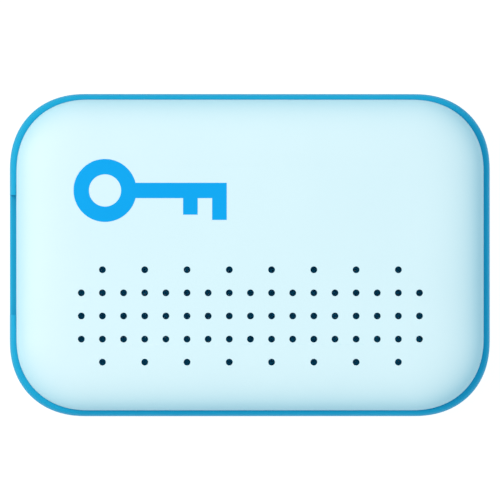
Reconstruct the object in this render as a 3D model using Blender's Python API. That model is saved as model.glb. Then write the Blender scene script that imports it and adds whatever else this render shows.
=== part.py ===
"""A card-shaped Bluetooth tracker tag, built as the pieces that it comes apart into.

The tag lies on its back: X runs along its length, Y across its width and Z out of its front face.
The origin is the middle of the flat back. Sizes are in metres.
"""

import math

import bmesh
import bpy
from mathutils import Matrix, Vector

MM = 0.001

# Driving dimensions of the whole tag.
LENGTH = 36.5 * MM
WIDTH = 24.5 * MM
HEIGHT = 5.8 * MM
GAP = 0.05 * MM  # clearance between pieces that touch on the real tag

# The plan outline: straight sides joined by super-elliptic corners.
CORNER_SIZE = 5.75 * MM
CORNER_EXPONENT = 2.2
CORNER_SHRINK = 0.5  # how much a corner's size shrinks for each unit of inset across the lip
CROWN_CORNER_SHRINK = 0.85  # the same inside the cover's edge
SMALLEST_CORNER = 0.3 * MM
CORNER_STEPS = 12
SIDE_SHARE = 0.89  # the long sides move in by this share of an inset

# Back shell: a tray with a rounded wall, whose thin lip shows as a rim round the cover.
FLOOR = 0.8 * MM
WALL = 1.3 * MM
FOOT_INSET = 1.5 * MM
FOOT_RISE = 2.0 * MM
LIP_START_Z = 2.7 * MM
LIP_TOP_Z = 3.6 * MM
LIP_ROUND = 0.34 * MM
LIP_WIDTH = 0.46 * MM
LEDGE_Z = 3.0 * MM
ARC_STEPS = 6

# Front cover: a pillow-shaped lid that sits inside the lip.
COVER_INSET = LIP_WIDTH + GAP
COVER_EDGE_Z = LEDGE_Z + GAP
COVER_SHOULDER_Z = 3.7 * MM
COVER_WALL_INSET = 1.45 * MM
CROWN_WIDTH = 6.0 * MM
CROWN_EXPONENT = 3.0
CROWN_STEPS = 9
CEILING_Z = 4.75 * MM
CEILING_INSET = 3.2 * MM
TONGUE_LENGTH = 3.0 * MM
TONGUE_THICKNESS = 0.5 * MM

# Sound holes: three full rows of 17, and every second column in the outer two rows.
GRILLE_COLUMNS = 17
GRILLE_PITCH_X = 1.6 * MM
GRILLE_PITCH_Y = 1.75 * MM
GRILLE_Y = -4.63 * MM
HOLE_RADIUS = 0.24 * MM

# Strap passage in the left end: in at the side over a bar, and out through the back.
STRAP_HALF_LENGTH = 4.55 * MM
STRAP_WALL = 0.8 * MM
STRAP_BAR_WIDTH = 1.6 * MM
STRAP_BAR_Z = 2.3 * MM
STRAP_DEPTH = 3.0 * MM
STRAP_ROOF_Z = LIP_TOP_Z + GAP
LEFT_END = -LENGTH / 2

# Coin cell, 16 mm by 3.2 mm, in a round pocket on the left.
CELL_RADIUS = 8.0 * MM
CELL_HEIGHT = 3.2 * MM
CELL_X = -6.1 * MM
CELL_Z = 1.1 * MM
POCKET_RADIUS = 8.2 * MM
POCKET_WALL = 0.55 * MM
POCKET_TOP_Z = 2.6 * MM

# Circuit board on the right, with a hollow edge round the coin cell.
BOARD_Z = 1.5 * MM
BOARD_THICKNESS = 0.8 * MM
BOARD_TOP_Z = BOARD_Z + BOARD_THICKNESS
BOARD_INSET = 1.95 * MM
BOARD_LEFT = -1.0 * MM
BOARD_HOLLOW_RADIUS = 9.0 * MM
PART_Z = BOARD_TOP_Z + GAP
SCREW_PLACES = {"upper": (13.9 * MM, 7.7 * MM), "lower": (0.8 * MM, -9.0 * MM)}
PIN_PLACES = ((13.9 * MM, -7.7 * MM), (0.8 * MM, 9.0 * MM))
BOSS_RADIUS = 1.3 * MM
SCREW_RADIUS = 0.6 * MM
SCREW_HEAD_RADIUS = 1.1 * MM
SCREW_HEAD_HEIGHT = 0.55 * MM
SCREW_TIP_Z = 0.55 * MM
PIN_RADIUS = 0.5 * MM
LEAF = 0.15 * MM  # thickness of the sprung metal strips

# Push switch under the plain part of the cover, pressed by a post as the cover gives.
SWITCH_X = 10.2 * MM
SWITCH_Y = 5.4 * MM
SWITCH_SIDE = 4.5 * MM
SWITCH_HEIGHT = 1.05 * MM
PLUNGER_RADIUS = 1.0 * MM
PLUNGER_TOP = 1.55 * MM
POST_RADIUS = 0.9 * MM
POST_GAP = 0.1 * MM

# Piezo sounder, glued under the sound mesh.
SOUNDER_X = 9.8 * MM
SOUNDER_Y = -4.0 * MM
SOUNDER_RADIUS = 5.5 * MM
SOUNDER_SHEET = 0.1 * MM
CERAMIC_RADIUS = 4.0 * MM
FOAM_RING_WIDTH = 0.6 * MM
FOAM_RING_HEIGHT = 0.35 * MM
MESH_THICKNESS = 0.1 * MM
MESH_MARGIN = 0.85 * MM

TURN_STEPS = 36
SMALL_TURN_STEPS = 20
HOLE_STEPS = 8
SMOOTH_ANGLE = math.radians(35)


def clear_scene():
    for obj in list(bpy.data.objects):
        bpy.data.objects.remove(obj)


def material(name, colour, roughness, metallic=0.0):
    """One Principled material for each name."""
    made = bpy.data.materials.get(name)
    if made is None:
        made = bpy.data.materials.new(name)
        made.use_nodes = True
        shader = made.node_tree.nodes["Principled BSDF"]
        shader.inputs["Base Color"].default_value = (*colour, 1.0)
        shader.inputs["Roughness"].default_value = roughness
        shader.inputs["Metallic"].default_value = metallic
    return made


def pale_plastic():
    return material("pale_plastic", (0.66, 0.92, 0.98), 0.35)


def blue_plastic():
    return material("blue_plastic", (0.02, 0.42, 0.78), 0.3)


def board_laminate():
    return material("board_laminate", (0.02, 0.16, 0.10), 0.45)


def black_epoxy():
    return material("black_epoxy", (0.03, 0.03, 0.035), 0.5)


def steel():
    return material("steel", (0.72, 0.72, 0.74), 0.28, 1.0)


def spring_nickel():
    return material("spring_nickel", (0.78, 0.74, 0.66), 0.3, 1.0)


def brass():
    return material("brass", (0.80, 0.62, 0.28), 0.3, 1.0)


def white_ceramic():
    return material("white_ceramic", (0.86, 0.85, 0.80), 0.5)


def dark_foam():
    return material("dark_foam", (0.04, 0.04, 0.045), 0.95)


def tan_ceramic():
    return material("tan_ceramic", (0.45, 0.32, 0.20), 0.5)


def nylon():
    return material("nylon", (0.80, 0.80, 0.76), 0.5)


def navy_mesh():
    return material("navy_mesh", (0.02, 0.06, 0.14), 0.7)


def solid(name, bm, finish, parent, location=(0, 0, 0), turn=0.0):
    """Makes one named object from a bmesh, under the empty of the body that it belongs to."""
    bmesh.ops.recalc_face_normals(bm, faces=bm.faces)
    mesh = bpy.data.meshes.new(name)
    bm.to_mesh(mesh)
    bm.free()
    mesh.shade_smooth()
    mesh.set_sharp_from_angle(angle=SMOOTH_ANGLE)
    obj = bpy.data.objects.new(name, mesh)
    bpy.context.scene.collection.objects.link(obj)
    obj.data.materials.append(finish)
    obj.parent = parent
    obj.location = location
    obj.rotation_euler = (0, 0, turn)
    return obj


def body_empty(name, location):
    """An empty on a moving body's axis; the body's pieces are its children."""
    empty = bpy.data.objects.new(name, None)
    bpy.context.scene.collection.objects.link(empty)
    empty.location = location
    return empty


def combine(obj, tool, operation):
    """Joins a helper shape to obj, or cuts it out, and hides the helper."""
    tool.hide_render = True
    tool.display_type = "WIRE"
    modifier = obj.modifiers.new(tool.name, "BOOLEAN")
    modifier.operation = operation
    modifier.solver = "EXACT"
    modifier.object = tool


def add(obj, name, bm, **place):
    combine(obj, solid(name, bm, obj.data.materials[0], obj.parent, **place), "UNION")


def cut(obj, name, bm, **place):
    combine(obj, solid(name, bm, obj.data.materials[0], obj.parent, **place), "DIFFERENCE")


def corner_size(inset):
    """Size of the plan outline's corners at an inset from the tag's own outline."""
    over = max(inset - COVER_INSET, 0.0)
    size = CORNER_SIZE - CORNER_SHRINK * (inset - over) - CROWN_CORNER_SHRINK * over
    return max(size, SMALLEST_CORNER)


def outline(inset):
    """The tag's plan outline moved inwards, anticlockwise from its right-hand side."""
    half_x = LENGTH / 2 - inset
    half_y = WIDTH / 2 - SIDE_SHARE * inset
    size = corner_size(inset)
    power = 2 / CORNER_EXPONENT
    quarter = []
    for step in range(CORNER_STEPS + 1):
        angle = math.pi / 2 * step / CORNER_STEPS
        along_x = half_x - size + size * max(math.cos(angle), 0) ** power
        along_y = half_y - size + size * math.sin(angle) ** power
        quarter.append((along_x, along_y))
    back = quarter[::-1]
    return (
        quarter
        + [(-x, y) for x, y in back]
        + [(-x, -y) for x, y in quarter]
        + [(x, -y) for x, y in back]
    )


def circle(radius, steps, x=0.0, y=0.0):
    angles = [2 * math.pi * step / steps for step in range(steps)]
    return [(x + radius * math.cos(a), y + radius * math.sin(a)) for a in angles]


def rectangle(x_low, x_high, y_low, y_high):
    return [(x_low, y_low), (x_high, y_low), (x_high, y_high), (x_low, y_high)]


def loft(sections):
    """A closed bmesh through (plan points, height) sections of equal length, capped at both ends."""
    bm = bmesh.new()
    loops = [[bm.verts.new((x, y, z)) for x, y in points] for points, z in sections]
    bm.faces.new(loops[0])
    bm.faces.new(loops[-1])
    for lower, upper in zip(loops, loops[1:]):
        for i, vertex in enumerate(lower):
            j = (i + 1) % len(lower)
            bm.faces.new((vertex, lower[j], upper[j], upper[i]))
    return bm


def prism(points, z_low, z_high):
    return loft([(points, z_low), (points, z_high)])


def block(x_low, x_high, y_low, y_high, z_low, z_high):
    return prism(rectangle(x_low, x_high, y_low, y_high), z_low, z_high)


def rounded_block(size_x, size_y, z_low, z_high, bevel):
    """A block centred on the origin in plan, with its upright edges and its top edges chamfered."""
    bm = block(-size_x / 2, size_x / 2, -size_y / 2, size_y / 2, z_low, z_high)
    bm.edges.ensure_lookup_table()
    upper = [e for e in bm.edges if max(v.co.z for v in e.verts) > z_low + bevel]
    bmesh.ops.bevel(bm, geom=upper, offset=bevel, segments=1, affect="EDGES")
    return bm


def cylinder(radius, z_low, z_high, steps, x=0.0, y=0.0):
    return prism(circle(radius, steps, x, y), z_low, z_high)


def turned(profile, steps):
    """A closed bmesh turned about Z from (radius, height) pairs; a profile off the axis is a closed loop."""
    bm = bmesh.new()
    vertices = [bm.verts.new((radius, 0, z)) for radius, z in profile]
    edges = [bm.edges.new(pair) for pair in zip(vertices, vertices[1:])]
    if profile[0][0] > 0:
        edges.append(bm.edges.new((vertices[-1], vertices[0])))
    bmesh.ops.spin(
        bm,
        geom=vertices + edges,
        cent=(0, 0, 0),
        axis=(0, 0, 1),
        angle=2 * math.pi,
        steps=steps,
        use_merge=True,
    )
    bmesh.ops.remove_doubles(bm, verts=bm.verts, dist=0.001 * MM)
    return bm


def ring(inner, outer, z_low, z_high, steps):
    return turned([(inner, z_low), (outer, z_low), (outer, z_high), (inner, z_high)], steps)


def bent_strip(route, width):
    """A sprung metal strip that follows a route in the XZ plane, with mitred bends."""
    points = [Vector((x, 0, z)) for x, z in route]
    directions = [(b - a).normalized() for a, b in zip(points, points[1:])]
    left, right = [], []
    for i, point in enumerate(points):
        before = directions[max(i - 1, 0)]
        after = directions[min(i, len(directions) - 1)]
        along = (before + after).normalized()
        normal = Vector((-along.z, 0, along.x))
        reach = LEAF / 2 / along.dot(after)
        left.append(point + normal * reach)
        right.append(point - normal * reach)
    bm = bmesh.new()
    side = [bm.verts.new(p - Vector((0, width / 2, 0))) for p in left + right[::-1]]
    face = bm.faces.new(side)
    moved = bmesh.ops.extrude_face_region(bm, geom=[face])["geom"]
    far_side = [v for v in moved if isinstance(v, bmesh.types.BMVert)]
    bmesh.ops.translate(bm, verts=far_side, vec=(0, width, 0))
    return bm


def arc(start, end, middle_first):
    """Quarter of an ellipse from start to end in (inset, height); it leaves start level or upright."""
    points = []
    for step in range(ARC_STEPS + 1):
        angle = math.pi / 2 * step / ARC_STEPS
        fast, slow = math.sin(angle), 1 - math.cos(angle)
        share_inset, share_z = (fast, slow) if middle_first else (slow, fast)
        inset = start[0] + (end[0] - start[0]) * share_inset
        z = start[1] + (end[1] - start[1]) * share_z
        points.append((inset, z))
    return points


def shell_from(profile):
    return loft([(outline(inset), z) for inset, z in profile])


def back_shell(case):
    """The tray: flat back, rounded wall, thin lip, ledge for the cover, and everything moulded inside it."""
    profile = arc((FOOT_INSET, 0), (0, FOOT_RISE), True)
    profile += arc((0, LIP_START_Z), (LIP_ROUND, LIP_TOP_Z), False)
    profile += [
        (LIP_WIDTH, LIP_TOP_Z),
        (LIP_WIDTH, LEDGE_Z),
        (WALL, LEDGE_Z),
        (WALL, FLOOR + 0.5 * MM),
        (WALL + 0.15 * MM, FLOOR + 0.15 * MM),
        (WALL + 0.5 * MM, FLOOR),
    ]
    shell = solid("back_shell", shell_from(profile), blue_plastic(), case)
    add_cell_pocket(shell)
    add_board_posts(shell)
    add_strap_passage(shell)
    return shell


def add_cell_pocket(shell):
    """The low round wall that keeps the coin cell in place, open where its lower contact comes in."""
    outer = POCKET_RADIUS + POCKET_WALL
    pocket = ring(POCKET_RADIUS, outer, FLOOR / 2, POCKET_TOP_Z, TURN_STEPS)
    add(shell, "pocket_wall", pocket, location=(CELL_X, 0, 0))
    x_middle = CELL_X + POCKET_RADIUS + POCKET_WALL / 2
    doorway = block(x_middle - 0.8 * MM, x_middle + 0.8 * MM, -1.8 * MM, 1.8 * MM, FLOOR, HEIGHT)
    cut(shell, "pocket_doorway", doorway)


def add_board_posts(shell):
    """Two bosses for the board's screws, and two posts whose pins pass through the board."""
    top = BOARD_Z - GAP
    for name, (x, y) in SCREW_PLACES.items():
        boss = cylinder(BOSS_RADIUS, FLOOR / 2, top, SMALL_TURN_STEPS, x, y)
        add(shell, f"{name}_boss", boss)
        hole = cylinder(SCREW_RADIUS + GAP, SCREW_TIP_Z - GAP, HEIGHT, SMALL_TURN_STEPS, x, y)
        cut(shell, f"{name}_boss_hole", hole)
    for number, (x, y) in enumerate(PIN_PLACES, 1):
        pin_top = BOARD_TOP_Z + 0.25 * MM
        post = turned(
            [(0, FLOOR / 2), (BOSS_RADIUS, FLOOR / 2), (BOSS_RADIUS, top), (PIN_RADIUS, top)]
            + [(PIN_RADIUS, pin_top - 0.1 * MM), (PIN_RADIUS - 0.1 * MM, pin_top), (0, pin_top)],
            SMALL_TURN_STEPS,
        )
        add(shell, f"board_post_{number}", post, location=(x, y, 0))


def add_strap_passage(shell):
    """A box in the left end holds the passage: a slot in the side, a bar below it, and a slot in the back."""
    half = STRAP_HALF_LENGTH
    inner = LEFT_END + STRAP_DEPTH
    outside = LEFT_END - 1 * MM
    wall_parts = {
        "strap_box": (LEFT_END + WALL - 0.3 * MM, FLOOR / 2),
        "strap_cheeks": (LEFT_END + LIP_WIDTH - 0.06 * MM, LEDGE_Z - 0.3 * MM),
    }
    for name, (x_low, z_low) in wall_parts.items():
        y_high = half + STRAP_WALL
        box = block(x_low, inner + STRAP_WALL, -y_high, y_high, z_low, LIP_TOP_Z - GAP)
        add(shell, name, box)
    cut(shell, "side_slot", block(outside, inner, -half, half, STRAP_BAR_Z, HEIGHT))
    bar_inner = LEFT_END + STRAP_BAR_WIDTH
    cut(shell, "back_slot", block(bar_inner, inner, -half, half, -1 * MM, STRAP_BAR_Z + GAP))


def crown_height(inset):
    """Height of the cover's outer face at an inset from the tag's outline."""
    across = min((inset - COVER_INSET) / CROWN_WIDTH, 1.0)
    rise = (1 - (1 - across) ** CROWN_EXPONENT) ** (1 / CROWN_EXPONENT)
    return COVER_SHOULDER_Z + (HEIGHT - COVER_SHOULDER_Z) * rise


def cover_profile():
    """From the middle of the front face, over the edge, to the middle of the ceiling."""
    profile = []
    for step in range(CROWN_STEPS, -1, -1):
        inset = COVER_INSET + CROWN_WIDTH * (step / CROWN_STEPS) ** 2.2
        profile.append((inset, crown_height(inset)))
    profile += [
        (COVER_INSET, COVER_EDGE_Z),
        (COVER_WALL_INSET, COVER_EDGE_Z),
        (COVER_WALL_INSET, 3.9 * MM),
        (2.2 * MM, CEILING_Z - 0.15 * MM),
        (CEILING_INSET, CEILING_Z),
    ]
    return profile


def grille_places():
    """Centres of the sound holes, row by row."""
    for row in range(-2, 3):
        first, step = (1, 2) if abs(row) == 2 else (0, 1)
        for column in range(first, GRILLE_COLUMNS, step):
            x = (column - (GRILLE_COLUMNS - 1) / 2) * GRILLE_PITCH_X
            yield x, GRILLE_Y + row * GRILLE_PITCH_Y


def sound_holes():
    """One mesh that holds a short rod for each sound hole."""
    bm = bmesh.new()
    for x, y in grille_places():
        place = Matrix.Translation((x, y, (CEILING_Z + HEIGHT) / 2))
        bmesh.ops.create_cone(
            bm,
            cap_ends=True,
            segments=HOLE_STEPS,
            radius1=HOLE_RADIUS,
            radius2=HOLE_RADIUS,
            depth=HEIGHT - CEILING_Z + 0.6 * MM,
            matrix=place,
        )
    return bm


def front_cover(cover):
    """The lid, with its sound holes, its locating tongues and the post that presses the switch."""
    lid = solid("front_cover", shell_from(cover_profile()), pale_plastic(), cover)
    add_tongues(lid)
    post_bottom = PART_Z + PLUNGER_TOP + POST_GAP
    post = cylinder(POST_RADIUS, post_bottom, CEILING_Z + 0.3 * MM, SMALL_TURN_STEPS, SWITCH_X, SWITCH_Y)
    add(lid, "switch_post", post)
    half = STRAP_HALF_LENGTH + STRAP_WALL + GAP
    inner = LEFT_END + STRAP_DEPTH + STRAP_WALL + GAP
    clearance = block(LEFT_END, inner, -half, half, 0, STRAP_ROOF_Z)
    cut(lid, "strap_clearance", clearance)
    roof = block(LEFT_END + 1.1 * MM, inner, -half, half, STRAP_ROOF_Z, CEILING_Z + 0.15 * MM)
    add(lid, "strap_roof", roof)
    cut(lid, "sound_holes", sound_holes())
    return lid


def add_tongues(lid):
    """Short tongues that go down inside the shell's wall and keep the cover in line."""
    near, far = WALL + GAP, WALL + GAP + TONGUE_THICKNESS
    bottom, top = BOARD_TOP_Z + 2 * GAP, 4.4 * MM
    half = TONGUE_LENGTH / 2
    for side in (-1, 1):
        for number, x in enumerate((-9 * MM, 5 * MM), 1):
            y_ends = sorted((side * (WIDTH / 2 - far), side * (WIDTH / 2 - near)))
            tongue = block(x - half, x + half, *y_ends, bottom, top)
            add(lid, f"side_tongue_{number}_{side}", tongue)
        y = side * 4 * MM
        end = LENGTH / 2
        add(lid, f"end_tongue_{side}", block(end - far, end - near, y - half, y + half, bottom, top))


def sound_mesh(cover):
    """Fine stiff mesh under the ceiling that keeps dust out of the sound holes."""
    half_x = (GRILLE_COLUMNS - 1) / 2 * GRILLE_PITCH_X + MESH_MARGIN
    half_y = 2 * GRILLE_PITCH_Y + MESH_MARGIN
    top = CEILING_Z - GAP
    sheet = block(-half_x, half_x, -half_y, half_y, top - MESH_THICKNESS, top)
    solid("sound_mesh", sheet, navy_mesh(), cover, (0, GRILLE_Y, 0))


def cell_pad(cover):
    """Foam pad under the ceiling that stops the coin cell rattling."""
    top = CEILING_Z - GAP
    pad = rounded_block(9 * MM, 5.5 * MM, CELL_Z + CELL_HEIGHT + GAP, top, 0.08 * MM)
    solid("cell_pad", pad, dark_foam(), cover, (CELL_X, 4.2 * MM, 0))


def sounder(cover):
    """Brass disc with a ceramic disc under it, on a foam ring that is glued under the mesh."""
    place = (SOUNDER_X, SOUNDER_Y, 0)
    top = CEILING_Z - MESH_THICKNESS - 2 * GAP
    inner = SOUNDER_RADIUS - FOAM_RING_WIDTH
    foam = ring(inner, SOUNDER_RADIUS, top - FOAM_RING_HEIGHT, top, TURN_STEPS)
    solid("sounder_foam_ring", foam, dark_foam(), cover, place)
    top -= FOAM_RING_HEIGHT + GAP
    disc = cylinder(SOUNDER_RADIUS, top - SOUNDER_SHEET, top, TURN_STEPS)
    solid("sounder_brass_disc", disc, brass(), cover, place)
    top -= SOUNDER_SHEET + GAP
    ceramic = cylinder(CERAMIC_RADIUS, top - SOUNDER_SHEET, top, TURN_STEPS)
    solid("sounder_ceramic_disc", ceramic, white_ceramic(), cover, place)
    return top - SOUNDER_SHEET


def sounder_springs(case, ceramic_bottom):
    """Two bent strips on the board that reach up to the brass and to the ceramic."""
    brass_bottom = ceramic_bottom + SOUNDER_SHEET + GAP
    reaches = {
        "sounder_spring_brass": (SOUNDER_X - 4.5 * MM, brass_bottom),
        "sounder_spring_ceramic": (SOUNDER_X, ceramic_bottom),
    }
    foot_z = PART_Z + LEAF / 2
    for name, (x, touch_z) in reaches.items():
        tip = touch_z - GAP - LEAF / 2 - 0.02 * MM
        route = [(1.9, foot_z), (0.4, foot_z), (0.1, foot_z + 0.2 * MM)]
        route = [(a * MM, b) for a, b in route]
        route += [(0.5 * MM, foot_z + 0.75 * MM), (0, tip), (-0.45 * MM, tip - 0.2 * MM)]
        solid(name, bent_strip(route, 1.0 * MM), spring_nickel(), case, (x, SOUNDER_Y, 0))


def circuit_board(case):
    """The board fills the right-hand end and curves round the coin cell on its left."""
    edge = [point for point in outline(BOARD_INSET) if point[0] > BOARD_LEFT]
    half_y = max(y for _, y in edge)
    count = len(edge) // 2
    upper, lower = edge[:count], edge[count:]
    reach = math.acos((BOARD_LEFT - CELL_X) / BOARD_HOLLOW_RADIUS)
    hollow = []
    for step in range(TURN_STEPS // 2 + 1):
        angle = reach * (1 - 4 * step / TURN_STEPS)
        x = CELL_X + BOARD_HOLLOW_RADIUS * math.cos(angle)
        hollow.append((x, BOARD_HOLLOW_RADIUS * math.sin(angle)))
    points = lower + upper + [(BOARD_LEFT, half_y)] + hollow + [(BOARD_LEFT, -half_y)]
    board = solid("circuit_board", prism(points, BOARD_Z, BOARD_TOP_Z), board_laminate(), case)
    holes = [(*place, SCREW_RADIUS + 2 * GAP) for place in SCREW_PLACES.values()]
    holes += [(*place, PIN_RADIUS + 2 * GAP) for place in PIN_PLACES]
    for number, (x, y, radius) in enumerate(holes, 1):
        cut(board, f"board_hole_{number}", cylinder(radius, 0, HEIGHT, SMALL_TURN_STEPS, x, y))


def board_screws(case):
    """Two small self-tapping screws with a cross in the head."""
    shank = PART_Z - SCREW_TIP_Z
    for name, (x, y) in SCREW_PLACES.items():
        profile = [
            (0, -shank),
            (SCREW_RADIUS * 0.5, -shank),
            (SCREW_RADIUS, -shank + 0.35 * MM),
            (SCREW_RADIUS, 0),
            (SCREW_HEAD_RADIUS, 0),
            (SCREW_HEAD_RADIUS, SCREW_HEAD_HEIGHT * 0.5),
            (SCREW_HEAD_RADIUS * 0.75, SCREW_HEAD_HEIGHT * 0.9),
            (0, SCREW_HEAD_HEIGHT),
        ]
        place = (x, y, PART_Z)
        screw = solid(f"board_screw_{name}", turned(profile, SMALL_TURN_STEPS), steel(), case, place)
        for turn in (0, 1):
            half_x, half_y = (0.6 * MM, 0.12 * MM) if turn else (0.12 * MM, 0.6 * MM)
            bottom = SCREW_HEAD_HEIGHT * 0.4
            slot = block(-half_x, half_x, -half_y, half_y, bottom, 2 * SCREW_HEAD_HEIGHT)
            cut(screw, f"{name}_cross_{turn}", slot, location=place)


def coin_cell(cell):
    """The cell's own pieces, with the cap, which is its negative side, at the bottom."""
    top = CELL_HEIGHT / MM
    shapes = {
        "cell_can": (
            [(0, top), (7.7, top), (8.0, top - 0.3), (8.0, 0.45), (7.8, 0.17), (7.35, 0.12)],
            [(7.35, 0.35), (7.62, 0.42), (7.75, 0.6), (7.75, top - 0.35), (7.65, top - 0.25), (0, top - 0.25)],
            steel(),
        ),
        "cell_gasket": (
            [(6.98, 0.1), (7.29, 0.08), (7.29, 0.4), (7.56, 0.5), (7.69, 0.68), (7.69, 2.1)],
            [(7.47, 2.1), (7.47, 0.82), (7.24, 0.58), (6.98, 0.5)],
            nylon(),
        ),
        "cell_cap": (
            [(0, 0), (6.4, 0), (6.62, 0.14), (6.88, 0.57), (7.2, 0.66), (7.41, 0.86), (7.41, 1.8)],
            [(7.22, 1.8), (7.22, 0.95), (7.08, 0.84), (6.72, 0.76), (6.42, 0.24), (6.3, 0.2), (0, 0.2)],
            steel(),
        ),
        "cell_lithium_disc": ([(0, 0.26), (6.0, 0.26), (6.0, 0.9), (0, 0.9)], [], spring_nickel()),
        "cell_separator": ([(0, 0.96), (7.1, 0.96), (7.1, 1.08), (0, 1.08)], [], white_ceramic()),
        "cell_cathode": ([(0, 1.14), (7.0, 1.14), (7.0, 2.88), (0, 2.88)], [], black_epoxy()),
    }
    for name, (outer, inner, finish) in shapes.items():
        profile = [(radius * MM, z * MM) for radius, z in outer + inner]
        solid(name, turned(profile, TURN_STEPS), finish, cell)


def cell_contacts(case):
    """A strip under the cell's cap, and a sprung leaf that touches the side of its can."""
    low = CELL_Z - GAP - LEAF / 2 - 0.02 * MM
    under_board = BOARD_Z - GAP - LEAF / 2
    route = [(-9.5, low), (3.1, low), (3.6, under_board), (6.0, under_board)]
    route = [(x * MM, z) for x, z in route]
    solid("cell_contact_lower", bent_strip(route, 3.0 * MM), spring_nickel(), case)
    foot = PART_Z + LEAF / 2
    touch = CELL_RADIUS + GAP + LEAF / 2 + 0.02 * MM
    route = [(10.6 * MM, foot), (9.3 * MM, foot), (8.85 * MM, foot + 0.4 * MM)]
    route += [(touch, foot + 0.95 * MM), (touch + 0.3 * MM, foot + 1.5 * MM)]
    leaf = bent_strip(route, 2.2 * MM)
    solid("cell_contact_side", leaf, spring_nickel(), case, (CELL_X, 0, 0), math.radians(36))


def push_switch(case, button):
    """Base, two terminals, snap dome and frame on the board; the plunger alone moves."""
    place = (SWITCH_X, SWITCH_Y, PART_Z)
    half = SWITCH_SIDE / 2
    base = solid(
        "switch_base",
        rounded_block(SWITCH_SIDE, SWITCH_SIDE, 0, SWITCH_HEIGHT, 0.1 * MM),
        black_epoxy(),
        case,
        place,
    )
    pocket_z = 0.35 * MM
    cut(base, "switch_pocket", cylinder(1.85 * MM, pocket_z, 2 * MM, TURN_STEPS), location=place)
    for name, y in (("front", -1.5 * MM), ("back", 1.5 * MM)):
        groove = block(-2 * half, 2 * half, y - 0.37 * MM, y + 0.37 * MM, -1 * MM, 0.22 * MM)
        cut(base, f"{name}_groove", groove, location=place)
        bar = block(-half - 0.5 * MM, half + 0.5 * MM, y - 0.3 * MM, y + 0.3 * MM, 0, LEAF)
        solid(f"switch_terminal_{name}", bar, spring_nickel(), case, place)
    dome = turned(
        [(0, 0.60), (0.9, 0.55), (1.7, 0.40), (1.7, 0.48), (0.9, 0.63), (0, 0.68)],
        TURN_STEPS,
    )
    bmesh.ops.scale(dome, vec=(MM, MM, MM), verts=dome.verts)
    solid("switch_dome", dome, steel(), case, place)
    frame_z = SWITCH_HEIGHT + GAP
    ear_x = half + GAP
    frame = solid(
        "switch_frame",
        block(-ear_x - LEAF, ear_x + LEAF, -half + GAP, half - GAP, frame_z, frame_z + LEAF),
        steel(),
        case,
        place,
    )
    for side in (-1, 1):
        ends = sorted((side * ear_x, side * (ear_x + LEAF)))
        ear = block(*ends, -0.9 * MM, 0.9 * MM, 0.4 * MM, frame_z + 0.05 * MM)
        add(frame, f"frame_ear_{side}", ear, location=place)
    hole = cylinder(PLUNGER_RADIUS + 2 * GAP, 0, 3 * MM, TURN_STEPS)
    cut(frame, "frame_hole", hole, location=place)
    profile = [(0, 0.73), (1.5, 0.73), (1.5, 1.0), (1.0, 1.0), (1.0, 1.47), (0.92, 1.55), (0, 1.55)]
    plunger = turned([(radius * MM, z * MM) for radius, z in profile], TURN_STEPS)
    solid("switch_plunger", plunger, white_ceramic(), button)


def chip_parts(case):
    """Every plain moulded or ceramic part on the board: place, plan size, height and finish."""
    epoxy, tan, metal, pale = black_epoxy(), tan_ceramic(), steel(), white_ceramic()
    parts = [
        ("radio_chip", 5.3, 2.6, 4.0, 4.0, 0.85, epoxy),
        ("radio_crystal", 4.2, 6.4, 2.0, 1.6, 0.5, metal),
        ("clock_crystal", 14.9, 3.7, 1.5, 3.2, 0.75, metal),
        ("chip_antenna", 6.2, 9.1, 3.2, 1.6, 1.1, pale),
        ("antenna_inductor", 3.5, 8.9, 1.0, 0.5, 0.4, pale),
        ("sounder_inductor", 13.9, -1.6, 3.0, 3.0, 1.1, epoxy),
        ("reservoir_capacitor", 11.2, -8.6, 3.2, 1.6, 1.0, tan),
        ("chip_capacitor_1", 8.6, 1.1, 1.0, 0.5, 0.4, tan),
        ("chip_capacitor_2", 8.6, 2.2, 1.0, 0.5, 0.4, tan),
        ("chip_capacitor_3", 3.6, -0.7, 0.5, 1.0, 0.4, tan),
        ("chip_capacitor_4", 6.3, 7.0, 1.0, 0.5, 0.4, tan),
        ("chip_resistor_1", 10.6, 1.4, 1.0, 0.5, 0.35, epoxy),
        ("chip_resistor_2", 12.2, 1.4, 1.0, 0.5, 0.35, epoxy),
        ("chip_resistor_3", 8.6, -8.6, 1.0, 0.5, 0.35, epoxy),
    ]
    for name, x, y, size_x, size_y, height, finish in parts:
        bevel = 0.06 * MM
        shape = rounded_block(size_x * MM, size_y * MM, 0, height * MM, bevel)
        solid(name, shape, finish, case, (x * MM, y * MM, PART_Z))


def sounder_driver(case):
    """A three-legged transistor that drives the sounder."""
    place = (5.6 * MM, -7.2 * MM, PART_Z)
    shape = rounded_block(2.9 * MM, 1.3 * MM, 0.08 * MM, 1.0 * MM, 0.1 * MM)
    driver = solid("sounder_driver", shape, black_epoxy(), case, place)
    for number, (x, side) in enumerate(((-0.95, -1), (0.95, -1), (0, 1)), 1):
        y_ends = sorted((side * 0.4 * MM, side * 1.2 * MM))
        leg = block((x - 0.2) * MM, (x + 0.2) * MM, *y_ends, 0, 0.2 * MM)
        add(driver, f"driver_leg_{number}", leg, location=place)


def main():
    clear_scene()
    case = body_empty("case", (0, 0, 0))
    cover = body_empty("cover", (0, 0, 0))
    cell = body_empty("cell", (CELL_X, 0, CELL_Z))
    button = body_empty("button", (SWITCH_X, SWITCH_Y, PART_Z))
    back_shell(case)
    circuit_board(case)
    board_screws(case)
    chip_parts(case)
    sounder_driver(case)
    cell_contacts(case)
    push_switch(case, button)
    coin_cell(cell)
    front_cover(cover)
    sound_mesh(cover)
    cell_pad(cover)
    ceramic_bottom = sounder(cover)
    sounder_springs(case, ceramic_bottom)


main()
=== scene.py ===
import math

import bmesh
import bpy
from mathutils import Matrix, Vector


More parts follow.
